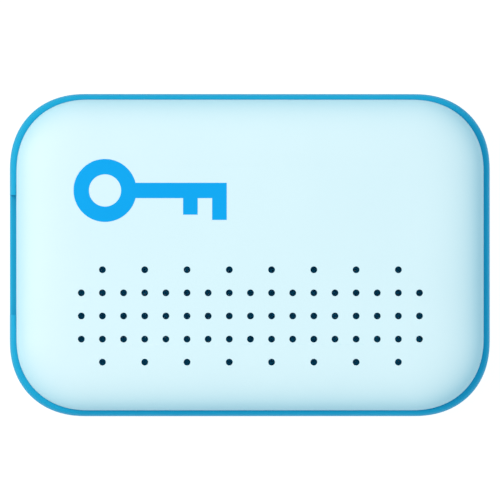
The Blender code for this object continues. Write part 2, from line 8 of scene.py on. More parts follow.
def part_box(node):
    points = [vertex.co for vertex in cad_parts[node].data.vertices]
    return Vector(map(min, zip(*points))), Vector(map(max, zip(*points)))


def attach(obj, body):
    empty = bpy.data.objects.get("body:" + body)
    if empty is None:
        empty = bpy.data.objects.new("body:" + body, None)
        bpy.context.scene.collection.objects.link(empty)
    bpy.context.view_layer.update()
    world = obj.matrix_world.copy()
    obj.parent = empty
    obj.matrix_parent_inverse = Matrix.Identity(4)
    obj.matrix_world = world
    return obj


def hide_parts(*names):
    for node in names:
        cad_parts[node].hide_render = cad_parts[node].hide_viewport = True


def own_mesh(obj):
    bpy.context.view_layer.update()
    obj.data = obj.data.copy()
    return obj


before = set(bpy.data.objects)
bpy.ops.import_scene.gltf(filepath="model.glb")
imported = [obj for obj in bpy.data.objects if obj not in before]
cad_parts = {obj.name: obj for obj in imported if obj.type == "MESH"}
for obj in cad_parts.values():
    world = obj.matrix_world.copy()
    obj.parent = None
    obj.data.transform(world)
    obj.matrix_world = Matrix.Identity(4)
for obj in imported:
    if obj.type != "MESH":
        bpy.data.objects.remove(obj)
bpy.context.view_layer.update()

MM = 0.001

# Sizes of the tag, as the CAD has them. Steps are finer than in the CAD.
LENGTH = 36.5 * MM
WIDTH = 24.5 * MM
HEIGHT = 5.8 * MM
GAP = 0.05 * MM
CORNER_SIZE = 5.75 * MM
CORNER_EXPONENT = 2.2
CORNER_SHRINK = 0.5
CROWN_CORNER_SHRINK = 0.85
SMALLEST_CORNER = 0.3 * MM
SIDE_SHARE = 0.89  # the long sides move in by this share of an inset
CORNER_STEPS = 26

FLOOR = 0.8 * MM
WALL = 1.3 * MM
FOOT_INSET = 1.5 * MM
FOOT_RISE = 2.0 * MM
LIP_START_Z = 2.7 * MM
LIP_TOP_Z = 3.6 * MM
LIP_ROUND = 0.34 * MM
LIP_WIDTH = 0.46 * MM
LEDGE_Z = 3.0 * MM
ARC_STEPS = 14

COVER_INSET = LIP_WIDTH + GAP
SEAM = 0.008 * MM  # what is left of the gap between lip and cover
COVER_EDGE_Z = LEDGE_Z + GAP
COVER_SHOULDER_Z = 3.7 * MM
COVER_WALL_INSET = 1.45 * MM
CROWN_WIDTH = 6.0 * MM
CROWN_EXPONENT = 3.0
CROWN_STEPS = 34
CROWN_CROWDING = 2.2  # crowds the crown's steps towards its edge
CEILING_Z = 4.75 * MM
CEILING_INSET = 3.2 * MM
TONGUE_LENGTH = 3.0 * MM
TONGUE_THICKNESS = 0.5 * MM
# Mask of painted shade on the cover: one at its edge, falling off inwards over this width.
EDGE_SHADE_ATTRIBUTE = "edge"
EDGE_SHADE_WIDTH = 0.9 * MM

GRILLE_COLUMNS = 17
GRILLE_PITCH_X = 1.6 * MM
GRILLE_PITCH_Y = 1.75 * MM
GRILLE_Y = -4.63 * MM
HOLE_RADIUS = 0.236 * MM

STRAP_HALF_LENGTH = 4.55 * MM
STRAP_WALL = 0.8 * MM
STRAP_BAR_WIDTH = 1.6 * MM
STRAP_BAR_Z = 2.3 * MM
STRAP_DEPTH = 3.0 * MM
BAR_ROUND = 0.22 * MM
STRAP_ROOF_Z = LIP_TOP_Z + GAP
LEFT_END = -LENGTH / 2

CELL_RADIUS = 8.0 * MM
CELL_HEIGHT = 3.2 * MM
CELL_X = -6.1 * MM
CELL_Z = 1.1 * MM
POCKET_RADIUS = 8.2 * MM
POCKET_WALL = 0.55 * MM
POCKET_TOP_Z = 2.6 * MM

BOARD_Z = 1.5 * MM
BOARD_THICKNESS = 0.8 * MM
BOARD_TOP_Z = BOARD_Z + BOARD_THICKNESS
PART_Z = BOARD_TOP_Z + GAP
BOARD_INSET = 1.95 * MM
BOARD_LEFT = -1.0 * MM
BOARD_HOLLOW_RADIUS = 9.0 * MM
SCREW_PLACES = {"upper": (13.9 * MM, 7.7 * MM), "lower": (0.8 * MM, -9.0 * MM)}
PIN_PLACES = ((13.9 * MM, -7.7 * MM), (0.8 * MM, 9.0 * MM))
BOSS_RADIUS = 1.3 * MM
SCREW_RADIUS = 0.6 * MM
SCREW_TIP_Z = 0.55 * MM
PIN_RADIUS = 0.5 * MM
LEAF = 0.15 * MM  # thickness of the sprung metal strips

SWITCH_X = 10.2 * MM
SWITCH_Y = 5.4 * MM
SWITCH_PLACE = Vector((SWITCH_X, SWITCH_Y, PART_Z))
PLUNGER_TOP = 1.55 * MM
POST_RADIUS = 0.9 * MM
POST_GAP = 0.1 * MM

TURN_STEPS = 96
POST_STEPS = 48
HOLE_STEPS = 32
CORNERS = ((-1, -1), (-1, 1), (1, -1), (1, 1))
AROUND = ((-1, -1), (1, -1), (1, 1), (-1, 1))  # the corners in the order of a loop


# ---- materials

COARSE = (100, 100, 100)
FINE = (1000, 1000, 1000)


def add_node(tree, kind, **settings):
    """A shader node. A setting is a property of it, or an input's value or source."""
    node = tree.nodes.new("ShaderNode" + kind)
    for name, value in settings.items():
        if hasattr(node, name):
            setattr(node, name, value)
            continue
        socket = node.inputs[name.replace("_", " ")]
        if isinstance(value, bpy.types.NodeSocket):
            tree.links.new(value, socket)
        else:
            socket.default_value = value
    return node


def new_material(name, scale=COARSE):
    """A material, its node tree, and object coordinates times a scale for each axis."""
    made = bpy.data.materials.new(name)
    made.use_nodes = True
    tree = made.node_tree
    source = add_node(tree, "TexCoord").outputs["Object"]
    return made, tree, add_node(tree, "Mapping", Scale=scale, Vector=source).outputs["Vector"]


def noise(tree, place, scale, detail=3.0):
    made = add_node(tree, "TexNoise", Vector=place, Scale=scale, Detail=detail, Roughness=0.55)
    return made.outputs["Fac"]


def spread(tree, value, low, high):
    """Maps the middle of a 0..1 pattern onto a range."""
    ends = {"From_Min": 0.3, "From_Max": 0.7, "To_Min": low, "To_Max": high}
    return add_node(tree, "MapRange", Value=value, **ends).outputs["Result"]


def two_colours(tree, value, first, second, low_in=0.3, high_in=0.7):
    node = add_node(tree, "ValToRGB", Fac=value)
    stops = node.color_ramp.elements
    stops[0].position = low_in
    stops[1].position = high_in
    stops[0].color = (*first, 1)
    stops[1].color = (*second, 1)
    return node.outputs["Color"]


def finished(made, tone, gloss, relief, depth, strength=1.0, **extra):
    """Links patterns of colour, roughness and bump, and sets other shader values."""
    tree = made.node_tree
    shader = tree.nodes["Principled BSDF"]
    bump = add_node(tree, "Bump", Height=relief, Distance=depth, Strength=strength)
    for name, source in (("Base Color", tone), ("Roughness", gloss), ("Normal", bump.outputs["Normal"])):
        tree.links.new(source, shader.inputs[name])
    for name, value in extra.items():
        shader.inputs[name.replace("_", " ")].default_value = value
    return made


def moulded(name, colour, shade, roughness, grain=90.0, depth=0.004 * MM, **extra):
    """Moulded plastic with slight colour drift, fine grain and uneven gloss."""
    made, tree, place = new_material(name)
    tone = two_colours(tree, noise(tree, place, 1.3, 2.0), colour, shade)
    gloss = spread(tree, noise(tree, place, 4.0, 4.0), roughness - 0.035, roughness + 0.045)
    return finished(made, tone, gloss, noise(tree, place, grain, 2.0), depth, 0.6, **extra)


def metal(name, colour, shade, roughness, scale=COARSE, depth=0.002 * MM):
    """Bare metal, marked along the axis that is scaled least."""
    made, tree, place = new_material(name, scale)
    marks = noise(tree, place, 12.0, 4.0)
    tone = two_colours(tree, noise(tree, place, 2.0), colour, shade)
    gloss = spread(tree, marks, roughness - 0.06, roughness + 0.08)
    return finished(made, tone, gloss, marks, depth, 0.5, Metallic=1.0)


def foam(name, colour, shade):
    """Closed-cell foam: small round cells all over."""
    made, tree, place = new_material(name, FINE)
    cells = add_node(tree, "TexVoronoi", Vector=place, Scale=7.0).outputs["Distance"]
    gloss = spread(tree, noise(tree, place, 0.8), 0.86, 0.97)
    return finished(made, two_colours(tree, cells, colour, shade, 0.1, 0.8), gloss, cells, 0.04 * MM)


def laminate(name, colour, shade, roughness):
    """Solder mask over the board's glass weave, a fine square grid."""
    made, tree, place = new_material(name, FINE)
    weave = add_node(tree, "Math", operation="ADD")
    for direction, socket in zip("XY", weave.inputs):
        wave = add_node(tree, "TexWave", bands_direction=direction, Vector=place, Scale=0.75, Distortion=0.4)
        tree.links.new(wave.outputs["Fac"], socket)
    tone = two_colours(tree, noise(tree, place, 0.5), colour, shade)
    gloss = spread(tree, noise(tree, place, 2.0), roughness - 0.06, roughness + 0.08)
    return finished(made, tone, gloss, weave.outputs["Value"], 0.003 * MM, 0.5)


def fired(name, colour, shade, roughness, grit=45.0, depth=0.004 * MM):
    """Fired or pressed powder: speckled, with a fine dry grain."""
    made, tree, place = new_material(name)
    speckle = noise(tree, place, grit)
    tone = two_colours(tree, speckle, colour, shade, 0.35, 0.65)
    gloss = spread(tree, noise(tree, place, 8.0), roughness - 0.08, roughness + 0.06)
    return finished(made, tone, gloss, speckle, depth, 0.7)


def paint_edge_shade(made, tone):
    """Multiplies the colour by a painted shade colour as far as the mesh's edge attribute says."""
    tree = made.node_tree
    base = tree.nodes["Principled BSDF"].inputs["Base Color"]
    face_colour = base.links[0].from_socket
    share = add_node(tree, "Attribute", attribute_name=EDGE_SHADE_ATTRIBUTE).outputs["Fac"]
    mix = add_node(tree, "Mix", data_type="RGBA", blend_type="MULTIPLY", Factor=share, A=face_colour, B=tone)
    tree.links.new(mix.outputs["Result"], base)
    return made


# The cover's pale plastic is painted darker and bluer towards its edge: painted shade of its sloping edge, and
# the translucent plastic's own blue where it thins out.
GRAIN_DEPTH = 0.003 * MM
COVER_PLASTIC = moulded(
    "cover_plastic", (0.73, 0.89, 0.925), (0.745, 0.902, 0.933),
    0.42, 110.0, GRAIN_DEPTH, Specular_IOR_Level=0.3
)
# Painted shade colour, multiplied in towards the cover's edge.
paint_edge_shade(COVER_PLASTIC, (0.54, 0.78, 0.87, 1))
# The holes' walls are coloured dark navy as painted shade inside the holes.
HOLE_WALL_SHADE = moulded("hole_wall_painted_shade", (0.01, 0.11, 0.2), (0.013, 0.13, 0.22), 0.45)
SHELL_PLASTIC = moulded(
    "shell_plastic", (0.007, 0.362, 0.615), (0.01, 0.382, 0.635),
    0.55, 90.0, GRAIN_DEPTH, Specular_IOR_Level=0.12
)
MARK_INK = moulded(
    "mark_ink", (0.001, 0.375, 0.83), (0.002, 0.395, 0.86), 0.5, 60.0, 0.002 * MM, Specular_IOR_Level=0.08
)
FOAM = foam("foam", (0.02, 0.02, 0.023), (0.055, 0.055, 0.06))
MESH_THREAD = moulded(
    "mesh_thread", (0.014, 0.36, 0.67), (0.018, 0.4, 0.73), 0.75, 60.0, Specular_IOR_Level=0.1
)
BRASS = metal("brass", (0.78, 0.58, 0.24), (0.7, 0.5, 0.19), 0.3, (30, 300, 100))
SILVER = metal("silver_paint", (0.8, 0.79, 0.77), (0.72, 0.71, 0.69), 0.46, depth=0.004 * MM)
WHITE_CERAMIC = fired("white_ceramic", (0.8, 0.79, 0.74), (0.88, 0.87, 0.83), 0.5)
SPRING = metal("spring_nickel", (0.76, 0.71, 0.62), (0.68, 0.63, 0.54), 0.28, (30, 250, 100))
MASK_GREEN = laminate("solder_mask", (0.01, 0.135, 0.075), (0.016, 0.17, 0.095), 0.34)
MASK_COPPER = laminate("mask_over_copper", (0.03, 0.25, 0.12), (0.038, 0.29, 0.14), 0.3)
GLASS_EDGE = fired("board_edge", (0.46, 0.42, 0.22), (0.58, 0.53, 0.3), 0.62, 30.0, 0.01 * MM)
GOLD = metal("gold_plate", (0.86, 0.64, 0.28), (0.8, 0.56, 0.22), 0.26)
SOLDER = metal("solder", (0.76, 0.76, 0.77), (0.66, 0.66, 0.67), 0.24, depth=0.006 * MM)
WHITE_PRINT = moulded("white_print", (0.8, 0.8, 0.77), (0.86, 0.86, 0.83), 0.6)
STEEL = metal("steel", (0.68, 0.68, 0.7), (0.6, 0.6, 0.62), 0.26, (40, 200, 100))
EPOXY = moulded("epoxy", (0.018, 0.018, 0.02), (0.03, 0.03, 0.033), 0.52, 60.0, 0.008 * MM)
FERRITE = fired("ferrite", (0.045, 0.045, 0.05), (0.075, 0.075, 0.08), 0.55, 60.0)
COPPER = metal("copper", (0.82, 0.38, 0.19), (0.74, 0.31, 0.14), 0.3)
TAN_CERAMIC = fired("tan_ceramic", (0.4, 0.26, 0.15), (0.48, 0.33, 0.2), 0.48, 70.0)
RESISTOR_BLACK = fired("resistor_glaze", (0.02, 0.02, 0.024), (0.035, 0.035, 0.04), 0.3, 40.0, 0.002 * MM)
PLUNGER = moulded("plunger_plastic", (0.78, 0.77, 0.72), (0.84, 0.83, 0.78), 0.42)
CELL_STEEL = metal("cell_steel", (0.7, 0.7, 0.71), (0.63, 0.63, 0.64), 0.3, (25, 220, 100))
NYLON = moulded("nylon", (0.72, 0.72, 0.66), (0.8, 0.8, 0.75), 0.45)
LITHIUM = metal("lithium", (0.62, 0.62, 0.64), (0.5, 0.5, 0.53), 0.55, depth=0.01 * MM)
SEPARATOR = fired("separator", (0.78, 0.77, 0.72), (0.88, 0.87, 0.83), 0.85, 55.0, 0.012 * MM)
CATHODE = fired("cathode", (0.018, 0.018, 0.02), (0.04, 0.04, 0.043), 0.8, 70.0, 0.012 * MM)


# ---- meshes


def corner_size(inset):
    """Shrinks slowly across the lip and faster on the cover's crown."""
    over = max(inset - COVER_INSET, 0.0)
    size = CORNER_SIZE - CORNER_SHRINK * (inset - over) - CROWN_CORNER_SHRINK * over
    return max(size, SMALLEST_CORNER)


def outline(inset):
    """The plan outline moved inwards, anticlockwise from its right-hand side."""
    half_x = LENGTH / 2 - inset
    half_y = WIDTH / 2 - SIDE_SHARE * inset
    size = corner_size(inset)
    power = 2 / CORNER_EXPONENT
    quarter = []
    for step in range(CORNER_STEPS + 1):
        angle = math.pi / 2 * step / CORNER_STEPS
        along_x = half_x - size + size * max(math.cos(angle), 0) ** power
        along_y = half_y - size + size * math.sin(angle) ** power
        quarter.append((along_x, along_y))
    back = quarter[::-1]
    left = [(-x, y) for x, y in back] + [(-x, -y) for x, y in quarter]
    return quarter + left + [(x, -y) for x, y in back]


def inset_of(x, y):
    """The inset whose outline passes through a point."""
    low, high = 0.0, WIDTH / 2
    for _ in range(40):
        middle = (low + high) / 2
        size = corner_size(middle)
        over_x = max((abs(x) - LENGTH / 2 + middle) / size + 1, 0)
        over_y = max((abs(y) - WIDTH / 2 + SIDE_SHARE * middle) / size + 1, 0)
        if over_x**CORNER_EXPONENT + over_y**CORNER_EXPONENT <= 1:
            low = middle
        else:
            high = middle
    return low


def crown_height(inset):
    """Height of the cover's outer face at an inset."""
    across = min((inset - COVER_INSET) / CROWN_WIDTH, 1.0)
    rise = (1 - (1 - across) ** CROWN_EXPONENT) ** (1 / CROWN_EXPONENT)
    return COVER_SHOULDER_Z + (HEIGHT - COVER_SHOULDER_Z) * rise


def face_height(x, y):
    return crown_height(inset_of(x, y))


def arc(start, end, level_first=False, steps=ARC_STEPS):
    """Quarter of an ellipse in (inset, height) that leaves start level or upright."""
    points = []
    for step in range(steps + 1):
        angle = math.pi / 2 * step / steps
        shares = (1 - math.cos(angle), math.sin(angle))
        if level_first:
            shares = shares[::-1]
        points.append(tuple(a + (b - a) * share for a, b, share in zip(start, end, shares)))
    return points


def solid(loops, ring=False):
    """A closed bmesh through loops, capped, or joined from the last to the first."""
    bm = bmesh.new()
    loops = [[bm.verts.new(point) for point in loop] for loop in loops]
    if ring:
        loops.append(loops[0])
    else:
        bm.faces.new(loops[0])
        bm.faces.new(loops[-1])
    for lower, upper in zip(loops, loops[1:]):
        for i, vertex in enumerate(lower):
            j = (i + 1) % len(lower)
            bm.faces.new((vertex, lower[j], upper[j], upper[i]))
    return bm


def loft(sections):
    """A solid through (plan points, height) sections."""
    return solid([[(x, y, z) for x, y in points] for points, z in sections])


def extruded(plan, low, high):
    return loft([(plan, low), (plan, high)])


def prism(section, half):
    """A section in the XZ plane, drawn out along Y both ways."""
    return solid([[(x, y, z) for x, z in section] for y in (-half, half)])


def box(x_low, x_high, y_low, y_high, z_low, z_high, bevel=0.0, segments=2):
    plan = [(x_low, y_low), (x_high, y_low), (x_high, y_high), (x_low, y_high)]
    bm = extruded(plan, z_low, z_high)
    if bevel:
        edges = bm.edges[:]
        bmesh.ops.bevel(bm, geom=edges, offset=bevel, segments=segments, affect="EDGES", profile=0.5)
    return bm


def bar(radius, low, high, inner=0.0):
    """Profile of a plain round bar or ring."""
    return [(inner, low), (radius, low), (radius, high), (inner, high)]


def turned(profile, steps, x=0.0, y=0.0):
    """Turned about Z from (radius, height) pairs; closed loop if off the axis."""
    bm = bmesh.new()
    vertices = [bm.verts.new((radius, 0, z)) for radius, z in profile]
    edges = [bm.edges.new(pair) for pair in zip(vertices, vertices[1:])]
    if profile[0][0] > 0:
        edges.append(bm.edges.new((vertices[-1], vertices[0])))
    turn = {"cent": (0, 0, 0), "axis": (0, 0, 1), "angle": 2 * math.pi}
    bmesh.ops.spin(bm, geom=vertices + edges, steps=steps, use_merge=True, **turn)
    bmesh.ops.remove_doubles(bm, verts=bm.verts, dist=0.0001 * MM)
    bmesh.ops.translate(bm, verts=bm.verts, vec=(x, y, 0))
    return bm


def moved(bm, vec, turn=0.0):
    bmesh.ops.rotate(bm, verts=bm.verts, cent=(0, 0, 0), matrix=Matrix.Rotation(turn, 3, "Z"))
    bmesh.ops.translate(bm, verts=bm.verts, vec=vec)
    return bm


def joined(*shapes):
    """One bmesh of separate (bmesh, material index) solids; None keeps a shape's own indices."""
    whole = bmesh.new()
    for shape, index in shapes:
        if index is not None:
            for face in shape.faces:
                face.material_index = index
        mesh = bpy.data.meshes.new("shape")
        shape.to_mesh(mesh)
        shape.free()
        whole.from_mesh(mesh)
        bpy.data.meshes.remove(mesh)
    return whole


def mesh_from(name, bm, materials):
    bmesh.ops.recalc_face_normals(bm, faces=bm.faces)
    mesh = bpy.data.meshes.new(name)
    bm.to_mesh(mesh)
    bm.free()
    for made in materials:
        mesh.materials.append(made)
    return mesh


def new_object(name, data):
    obj = bpy.data.objects.new(name, data)
    bpy.context.scene.collection.objects.link(obj)
    return obj


def add(shape, index=0):
    """A step for carve that joins a shape on."""
    return "UNION", shape, index


def cut(shape, index=0):
    """A step for carve that takes a shape away and leaves faces of that material."""
    return "DIFFERENCE", shape, index


def carve(bm, materials, steps):
    """Joins and cuts shapes in order."""
    base = new_object("base", mesh_from("base", bm, materials))
    helpers = [base]
    for operation, shape, index in steps:
        for face in shape.faces:
            face.material_index = index
        tool = new_object("tool", mesh_from("tool", shape, materials))
        modifier = base.modifiers.new("step", "BOOLEAN")
        modifier.operation = operation
        modifier.solver = "EXACT"
        modifier.object = tool
        helpers.append(tool)
    graph = bpy.context.evaluated_depsgraph_get()
    result = bpy.data.meshes.new_from_object(base.evaluated_get(graph))
    for extra in helpers:
        data = extra.data
        bpy.data.objects.remove(extra)
        bpy.data.meshes.remove(data)
    out = bmesh.new()
    out.from_mesh(result)
    bpy.data.meshes.remove(result)
    bmesh.ops.remove_doubles(out, verts=out.verts, dist=0.00005 * MM)
    return out


def piece(name, bm, materials, body, nodes, slot, sharp=35.0):
    """A finished piece, riding on its body in place of its CAD nodes."""
    mesh = mesh_from(name, bm, materials)
    mesh.shade_smooth()
    mesh.set_sharp_from_angle(angle=math.radians(sharp))
    obj = new_object(name, mesh)
    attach(obj, body)
    if nodes:
        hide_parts(*nodes)
    return obj


def fine(node, bm, materials, body, slot, sharp=35.0):
    """The piece for one CAD node, from a bmesh or a list of shapes for joined."""
    if isinstance(bm, list):
        bm = joined(*bm)
    return piece(f"fine_{node}", bm, materials, body, [node], slot, sharp)


# ---- back shell


def back_shell():
    """The tray, with lip, ledge, cell pocket, board posts and strap passage."""
    edge = 0.02 * MM
    hollow = 0.5 * MM
    lip_width = COVER_INSET - SEAM
    profile = arc((FOOT_INSET, 0), (0, FOOT_RISE), True)
    profile += arc((0, LIP_START_Z), (LIP_ROUND, LIP_TOP_Z))
    profile += [
        (lip_width - edge, LIP_TOP_Z),
        (lip_width - 0.3 * edge, LIP_TOP_Z - 0.3 * edge),
        (lip_width, LIP_TOP_Z - edge),
        (lip_width, LEDGE_Z),
        (WALL - edge, LEDGE_Z),
        (WALL, LEDGE_Z - edge),
    ]
    profile += arc((WALL, FLOOR + hollow), (WALL + hollow, FLOOR), steps=5)
    tray = loft([(outline(inset), z) for inset, z in profile])
    bm = carve(tray, [SHELL_PLASTIC], pocket_steps() + post_steps() + strap_steps())
    piece("tag_back_shell", bm, [SHELL_PLASTIC], "case", ["back_shell"], "shell_plastic")


def pocket_steps():
    """The cell's wall, and the doorway in it for the lower contact."""
    outer = POCKET_RADIUS + POCKET_WALL
    edge = 0.08 * MM
    profile = [
        (POCKET_RADIUS, FLOOR / 2),
        (outer, FLOOR / 2),
        (outer, POCKET_TOP_Z - edge),
        (outer - edge, POCKET_TOP_Z),
        (POCKET_RADIUS + edge, POCKET_TOP_Z),
        (POCKET_RADIUS, POCKET_TOP_Z - edge),
    ]
    middle = CELL_X + POCKET_RADIUS + POCKET_WALL / 2
    half_x, half_y = 0.8 * MM, 1.8 * MM
    doorway = box(middle - half_x, middle + half_x, -half_y, half_y, FLOOR, HEIGHT)
    return [add(turned(profile, TURN_STEPS, CELL_X)), cut(doorway)]


def post_steps():
    """Drilled bosses for screws, and bosses with a pin that locates the board."""
    top = BOARD_Z - GAP
    steps = []
    for place in SCREW_PLACES.values():
        steps.append(add(turned(bar(BOSS_RADIUS, FLOOR / 2, top), POST_STEPS, *place)))
        hole = bar(SCREW_RADIUS + GAP, SCREW_TIP_Z - GAP, HEIGHT)
        steps.append(cut(turned(hole, POST_STEPS, *place)))
    pin_top = BOARD_TOP_Z + 0.25 * MM
    near, far = 0.04 * MM, 0.12 * MM
    profile = [(0, FLOOR / 2), (BOSS_RADIUS, FLOOR / 2), (BOSS_RADIUS, top), (PIN_RADIUS, top)]
    profile += [(PIN_RADIUS, pin_top - far), (PIN_RADIUS - near, pin_top - near)]
    profile += [(PIN_RADIUS - far, pin_top), (0, pin_top)]
    return steps + [add(turned(profile, POST_STEPS, *place)) for place in PIN_PLACES]


def strap_steps():
    """The box round the strap passage, then its slot above a bar with a rounded edge."""
    inner = LEFT_END + STRAP_DEPTH
    near, ledge = LEFT_END + WALL - 0.3 * MM, LEFT_END + LIP_WIDTH - 0.06 * MM
    far, edge = inner + STRAP_WALL, 0.1 * MM
    top, step_z = LIP_TOP_Z - GAP, LEDGE_Z - 0.3 * MM
    walls = [(near, FLOOR / 2), (far, FLOOR / 2), (far, top - edge), (far - 0.3 * edge, top - 0.3 * edge)]
    walls += [(far - edge, top), (ledge, top), (ledge, step_z), (near, step_z)]
    outside = LEFT_END - 1 * MM
    slot = [(outside, HEIGHT), (outside, STRAP_BAR_Z - BAR_ROUND)]
    slot += arc((LEFT_END, STRAP_BAR_Z - BAR_ROUND), (LEFT_END + BAR_ROUND, STRAP_BAR_Z), steps=8)
    slot += [(inner, STRAP_BAR_Z), (inner, HEIGHT)]
    half = STRAP_HALF_LENGTH
    back = box(LEFT_END + STRAP_BAR_WIDTH, inner, -half, half, -1 * MM, STRAP_BAR_Z + GAP)
    return [add(prism(walls, half + STRAP_WALL)), cut(prism(slot, half)), cut(back)]


# ---- cover


def cover_profile():
    profile = []
    for step in range(CROWN_STEPS, -1, -1):
        inset = COVER_INSET + CROWN_WIDTH * (step / CROWN_STEPS) ** CROWN_CROWDING
        profile.append((inset, crown_height(inset)))
    profile += [
        (COVER_INSET, COVER_EDGE_Z),
        (COVER_WALL_INSET, COVER_EDGE_Z),
        (COVER_WALL_INSET, 3.9 * MM),
        (1.75 * MM, 4.4 * MM),
        (2.2 * MM, CEILING_Z - 0.15 * MM),
        (2.65 * MM, CEILING_Z - 0.03 * MM),
        (CEILING_INSET, CEILING_Z),
    ]
    return profile


def grille_places():
    """The outer two rows have every second hole."""
    for row in range(-2, 3):
        first, step = (1, 2) if abs(row) == 2 else (0, 1)
        for column in range(first, GRILLE_COLUMNS, step):
            x = (column - (GRILLE_COLUMNS - 1) / 2) * GRILLE_PITCH_X
            yield x, GRILLE_Y + row * GRILLE_PITCH_Y


def sound_holes():
    """A rod for each hole, flared at the face so that the hole has a soft rim."""
    small, large = HOLE_RADIUS + 0.009 * MM, HOLE_RADIUS + 0.039 * MM
    bottom = CEILING_Z - 0.4 * MM
    rods = []
    for x, y in grille_places():
        top = face_height(x, y)
        profile = [(0, bottom), (HOLE_RADIUS, bottom), (HOLE_RADIUS, top - 0.06 * MM)]
        profile += [(small, top - 0.02 * MM), (large, top + 0.02 * MM)]
        profile += [(large, top + 0.3 * MM), (0, top + 0.3 * MM)]
        rods.append((turned(profile, HOLE_STEPS, x, y), 0))
    return joined(*rods)


def tongue_steps():
    """Tongues inside the shell's wall: four on the long sides, two at the right end."""
    near, far = WALL + GAP, WALL + GAP + TONGUE_THICKNESS
    low, high, bevel = BOARD_TOP_Z + 2 * GAP, 4.4 * MM, 0.08 * MM
    half = TONGUE_LENGTH / 2
    steps = []
    for side in (-1, 1):
        for x in (-9 * MM, 5 * MM):
            y_ends = sorted((side * (WIDTH / 2 - far), side * (WIDTH / 2 - near)))
            steps.append(add(box(x - half, x + half, *y_ends, low, high, bevel)))
        y = side * 4 * MM
        steps.append(add(box(LENGTH / 2 - far, LENGTH / 2 - near, y - half, y + half, low, high, bevel)))
    return steps


def front_cover():
    """The lid, with tongues, the switch's post, a notch for the strap box and holes."""
    low, high, edge = PART_Z + PLUNGER_TOP + POST_GAP, CEILING_Z + 0.3 * MM, 0.1 * MM
    post = [(0, low), (POST_RADIUS - edge, low), (POST_RADIUS, low + edge), (POST_RADIUS, high), (0, high)]
    half = STRAP_HALF_LENGTH + STRAP_WALL + GAP
    inner = LEFT_END + STRAP_DEPTH + STRAP_WALL + GAP
    steps = tongue_steps() + [
        add(turned(post, POST_STEPS, SWITCH_X, SWITCH_Y)),
        cut(box(LEFT_END, inner, -half, half, 0, STRAP_ROOF_Z)),
        add(box(LEFT_END + 1.1 * MM, inner, -half, half, STRAP_ROOF_Z, CEILING_Z + 0.15 * MM)),
        # The holes' walls take the painted shade colour.
        cut(sound_holes(), 1),
    ]
    finishes = [COVER_PLASTIC, HOLE_WALL_SHADE]
    bm = carve(loft([(outline(inset), z) for inset, z in cover_profile()]), finishes, steps)
    lid = piece("tag_front_cover", bm, finishes, "cover", ["front_cover"], "cover_plastic", 28.0)
    # Painted shade mask: one at the cover's edge, falling off inwards.
    edge_shade_share = lid.data.attributes.new(EDGE_SHADE_ATTRIBUTE, "FLOAT", "POINT")
    for number, vertex in enumerate(lid.data.vertices):
        inset = inset_of(vertex.co.x, vertex.co.y) - COVER_INSET
        edge_shade_share.data[number].value = math.exp(-inset / EDGE_SHADE_WIDTH)


# ---- printed mark


def key_mark():
    """A plain key pictogram in ink, which follows the cover's face."""
    left, bottom = -13.39 * MM, 2.49 * MM
    length, height = 11.59 * MM, 4.76 * MM
    right, middle_y = left + length, bottom + height / 2
    bow_outer, bow_inner = height / 2, 1.22 * MM
    bow_x = left + bow_outer
    stem_half = 0.58 * MM
    teeth = [(right - 1.1 * MM, right, 1.65 * MM), (right - 3.3 * MM, right - 2.2 * MM, 1.25 * MM)]
    thickness = 0.014 * MM
    sink = 0.02 * MM
    z_ends = (HEIGHT - 0.5 * MM, HEIGHT + 0.5 * MM)

    bow = turned(bar(bow_outer, *z_ends, bow_inner), TURN_STEPS, bow_x, middle_y)
    stem_left = bow_x + (bow_inner + bow_outer) / 2
    steps = [add(box(stem_left, right, middle_y - stem_half, middle_y + stem_half, *z_ends))]
    for x_low, x_high, drop in teeth:
        steps.append(add(box(x_low, x_high, middle_y - stem_half - drop, middle_y, *z_ends)))
    bm = carve(bow, [MARK_INK], steps)
    bisect_grid(bm, 0, left, right)
    bisect_grid(bm, 1, bottom, bottom + height)
    for vertex in bm.verts:
        face = face_height(vertex.co.x, vertex.co.y)
        vertex.co.z = face + thickness if vertex.co.z > HEIGHT else face - sink
    piece("printed_key_mark", bm, [MARK_INK], "cover", [], "shell_plastic", 40.0)


def bisect_grid(bm, axis, low, high, pitch=0.5 * MM):
    """Cuts a shape across one axis at each pitch, so that it can bend."""
    for number in range(1, int((high - low) / pitch)):
        place, normal = [0.0, 0.0, 0.0], [0.0, 0.0, 0.0]
        place[axis] = low + number * pitch
        normal[axis] = 1.0
        geom = bm.verts[:] + bm.edges[:] + bm.faces[:]
        bmesh.ops.bisect_plane(bm, geom=geom, plane_co=place, plane_no=normal, dist=1e-7)


# ---- shapes for the inner pieces
# Turned profiles, corners of boxes and routes of strips are in millimetres from here on. Places are in metres.


def filleted(points, radius, closed=False, steps=4):
    """A route in metres with each corner rounded."""
    out = []
    count = len(points)
    for i, point in enumerate(points):
        here = Vector(point)
        if not closed and i in (0, count - 1):
            out.append(tuple(here))
            continue
        before, after = Vector(points[i - 1]), Vector(points[(i + 1) % count])
        reach = min(radius, (before - here).length * 0.45, (after - here).length * 0.45)
        start = here + (before - here).normalized() * reach
        end = here + (after - here).normalized() * reach
        for step in range(steps + 1):
            t = step / steps
            out.append(tuple((1 - t) ** 2 * start + 2 * t * (1 - t) * here + t * t * end))
    return out


def turned_mm(profile, radius, place=(0, 0, 0)):
    """A turned solid with rounded corners."""
    points = [(r * MM, h * MM) for r, h in profile]
    rounded = filleted(points, radius * MM, profile[0][0] > 0)
    return moved(turned(rounded, TURN_STEPS), place)


def box_mm(start, end, bevel=0.0, place=(0, 0, 0), segments=2):
    """A box between two opposite corners."""
    ends = [value * MM for pair in zip(start, end) for value in sorted(pair)]
    return moved(box(*ends, bevel * MM, segments), place)


